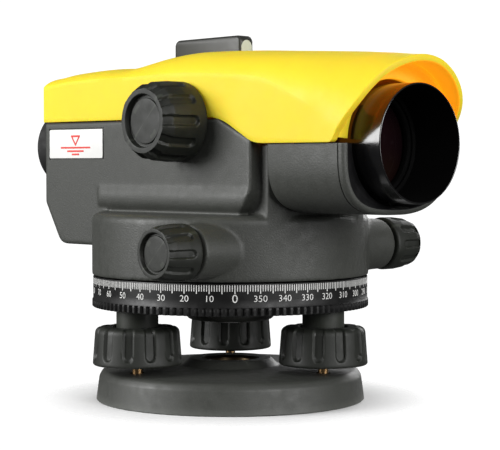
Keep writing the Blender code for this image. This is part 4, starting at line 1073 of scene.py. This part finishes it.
def round_level():
    """The bull's eye level on the drum's shoulder, its bubble, and the prism it is read in."""
    cup_low, cup_high = low("level_cup"), high("level_cup")
    centre = (cup_low + cup_high) / 2
    place = at(centre.x, centre.y, 0)
    room_r, outer_r, floor_z = 7.4, 8.6, 69.4
    cup = rounded([(0, floor_z), (room_r, floor_z, 0.3), (room_r, cup_high.z, 0.3),
                   (outer_r, cup_high.z, 0.5), (outer_r, cup_low.z, 0.3), (0, cup_low.z)], 4)
    piece(lathe("level_cup_fine", cup, knob_black, place, 96), "alidade", "knob_plastic", "level_cup")
    vial_r, vial_low, vial_top, crown = 7.0, 69.8, 75.5, 2.0
    dome = [(vial_r * k / 12, vial_top - crown * (k / 12) ** 2) for k in range(13)]
    piece(lathe("level_vial_fine", dome + [(vial_r, vial_low), (0, vial_low)], vial_liquid, place, 96),
          "alidade", "clear_glass", "level_vial")
    circle = [(2.5, 75.42), (2.85, 75.38), (2.85, 75.25), (2.5, 75.29)]
    piece(lathe("level_circle", circle, sight_black, place, 64), "alidade", "knob_plastic")
    near, far = low("level_prism"), high("level_prism")
    cut_back, corner = 2.4, 0.3
    slope = rounded([
        (near.x, near.z, corner), (far.x, near.z, corner), (far.x, near.z + cut_back, corner),
        (near.x + cut_back, far.z, corner), (near.x, far.z, corner)], 4)
    place = at(0, (near.y + far.y) / 2, 0) @ SIDE_VIEW
    piece(prism("level_prism_fine", slope, far.y - near.y, glass, place, 0.35), "alidade", "clear_glass",
          "level_prism")


def carried_over():
    """Materials for the inner parts whose CAD shape stays."""
    looks = {
        brass: ("axis_bush", "worm_wheel", "slow_motion_bush_left", "slow_motion_bush_right", "focus_bush",
                "reticle_cell"),
        steel: ("axis_stub", "slow_motion_shaft", "focus_pinion"),
        spring_steel: ("circle_spring", "spring_plate"),
        aluminium: ("telescope_tube", "focusing_cell", "eyepiece_cell", "compensator_frame", "pendulum_body"),
        magnet_metal: ("damping_magnet",),
        glass: ("roof_prism", "pendulum_prism", "eyepiece_lens"),
        lens: ("focusing_lens",)}
    for material, nodes in looks.items():
        for node in nodes:
            mesh = frame["nodes"][node].data
            mesh.materials.clear()
            mesh.materials.append(material)


base()
foot_screws()
head()
ring_body()
ring_marks()
casting()
label()
barrel()
cover()
hood_wall()
sight()
objective()
side_knobs()
eyepiece()
round_level()
carried_over()


# ---------- stage, lights and camera

def stage():
    """A pale floor that fades into the white surroundings."""
    fade_start, fade_end = 0.045, 0.075
    material, tree, shader = node_tree("floor_white")
    feed(tree, shader, {
        "Base Color": (0.90, 0.90, 0.90, 1.0), "Specular IOR Level": 0.2,
        "Roughness": span(tree, noise(tree, 3, 2.0), 0.3, 0.7, 0.55, 0.65)})
    away = tree.nodes.new("ShaderNodeVectorMath")
    away.operation = "LENGTH"
    feed(tree, away, {0: coordinates(tree)})
    fade = span(tree, away.outputs["Value"], fade_start, fade_end)
    blend = tree.nodes.new("ShaderNodeMixShader")
    feed(tree, blend, {0: fade, 1: shader.outputs[0], 2: added(tree, "BsdfTransparent")[0]})
    feed(tree, tree.nodes["Material Output"], {"Surface": blend.outputs[0]})
    bm = bmesh.new()
    bmesh.ops.create_grid(bm, x_segments=8, y_segments=8, size=600)
    made("floor", bm, material)

    world = bpy.data.worlds.new("studio")
    bpy.context.scene.world = world
    world.use_nodes = True
    tree = world.node_tree
    lighting, backdrop = 0.09, 1.1
    seen = added(tree, "LightPath")["Is Camera Ray"]
    feed(tree, tree.nodes["Background"], {
        "Color": (1.0, 1.0, 1.0, 1.0), "Strength": span(tree, seen, 0.0, 1.0, lighting, backdrop)})


def aimed(thing, place, gaze):
    """Puts a lamp or camera at a place, looking along gaze."""
    thing.location = place
    thing.rotation_mode = "QUATERNION"
    thing.rotation_quaternion = gaze.to_track_quat("-Z", "Y")


def lamp(name, place, size, power):
    """A soft box in metres and watts, aimed at the middle of the object."""
    light = bpy.data.lights.new(name, "AREA")
    light.shape = "RECTANGLE"
    light.size, light.size_y = size
    light.energy = power
    aimed(linked(name, light), place, Vector((0, 0, 0.08)) - Vector(place))


def camera():
    """The camera stands to the right of the line of sight, level with the telescope."""
    azimuth, turn, tilt = radians(47.521), radians(-0.669), radians(-2.029)
    distance, height = 0.60706, 0.08396
    data = bpy.data.cameras.new("camera")
    data.sensor_width = 36.0
    data.lens = 121.2
    data.clip_start, data.clip_end = 0.01, 20.0
    bpy.context.scene.camera = linked("camera", data)
    place = (distance * sin(azimuth), -distance * cos(azimuth), height)
    gaze = Vector((-sin(azimuth + turn) * cos(tilt), cos(azimuth + turn) * cos(tilt), sin(tilt)))
    aimed(bpy.context.scene.camera, place, gaze)


stage()
lamp("key", (-0.54, -1.02, 0.46), (0.7, 0.7), 20.0)
lamp("front_right", (1.12, -0.22, 0.45), (0.5, 0.5), 8.0)
lamp("right", (1.08, 0.34, 0.22), (0.35, 0.5), 4.5)
lamp("overhead", (0.10, -0.10, 1.20), (0.8, 0.8), 1.0)
lamp("back", (-0.45, 1.20, 0.45), (0.8, 0.7), 7.0)
camera()
bpy.context.scene.view_settings.view_transform = "Standard"
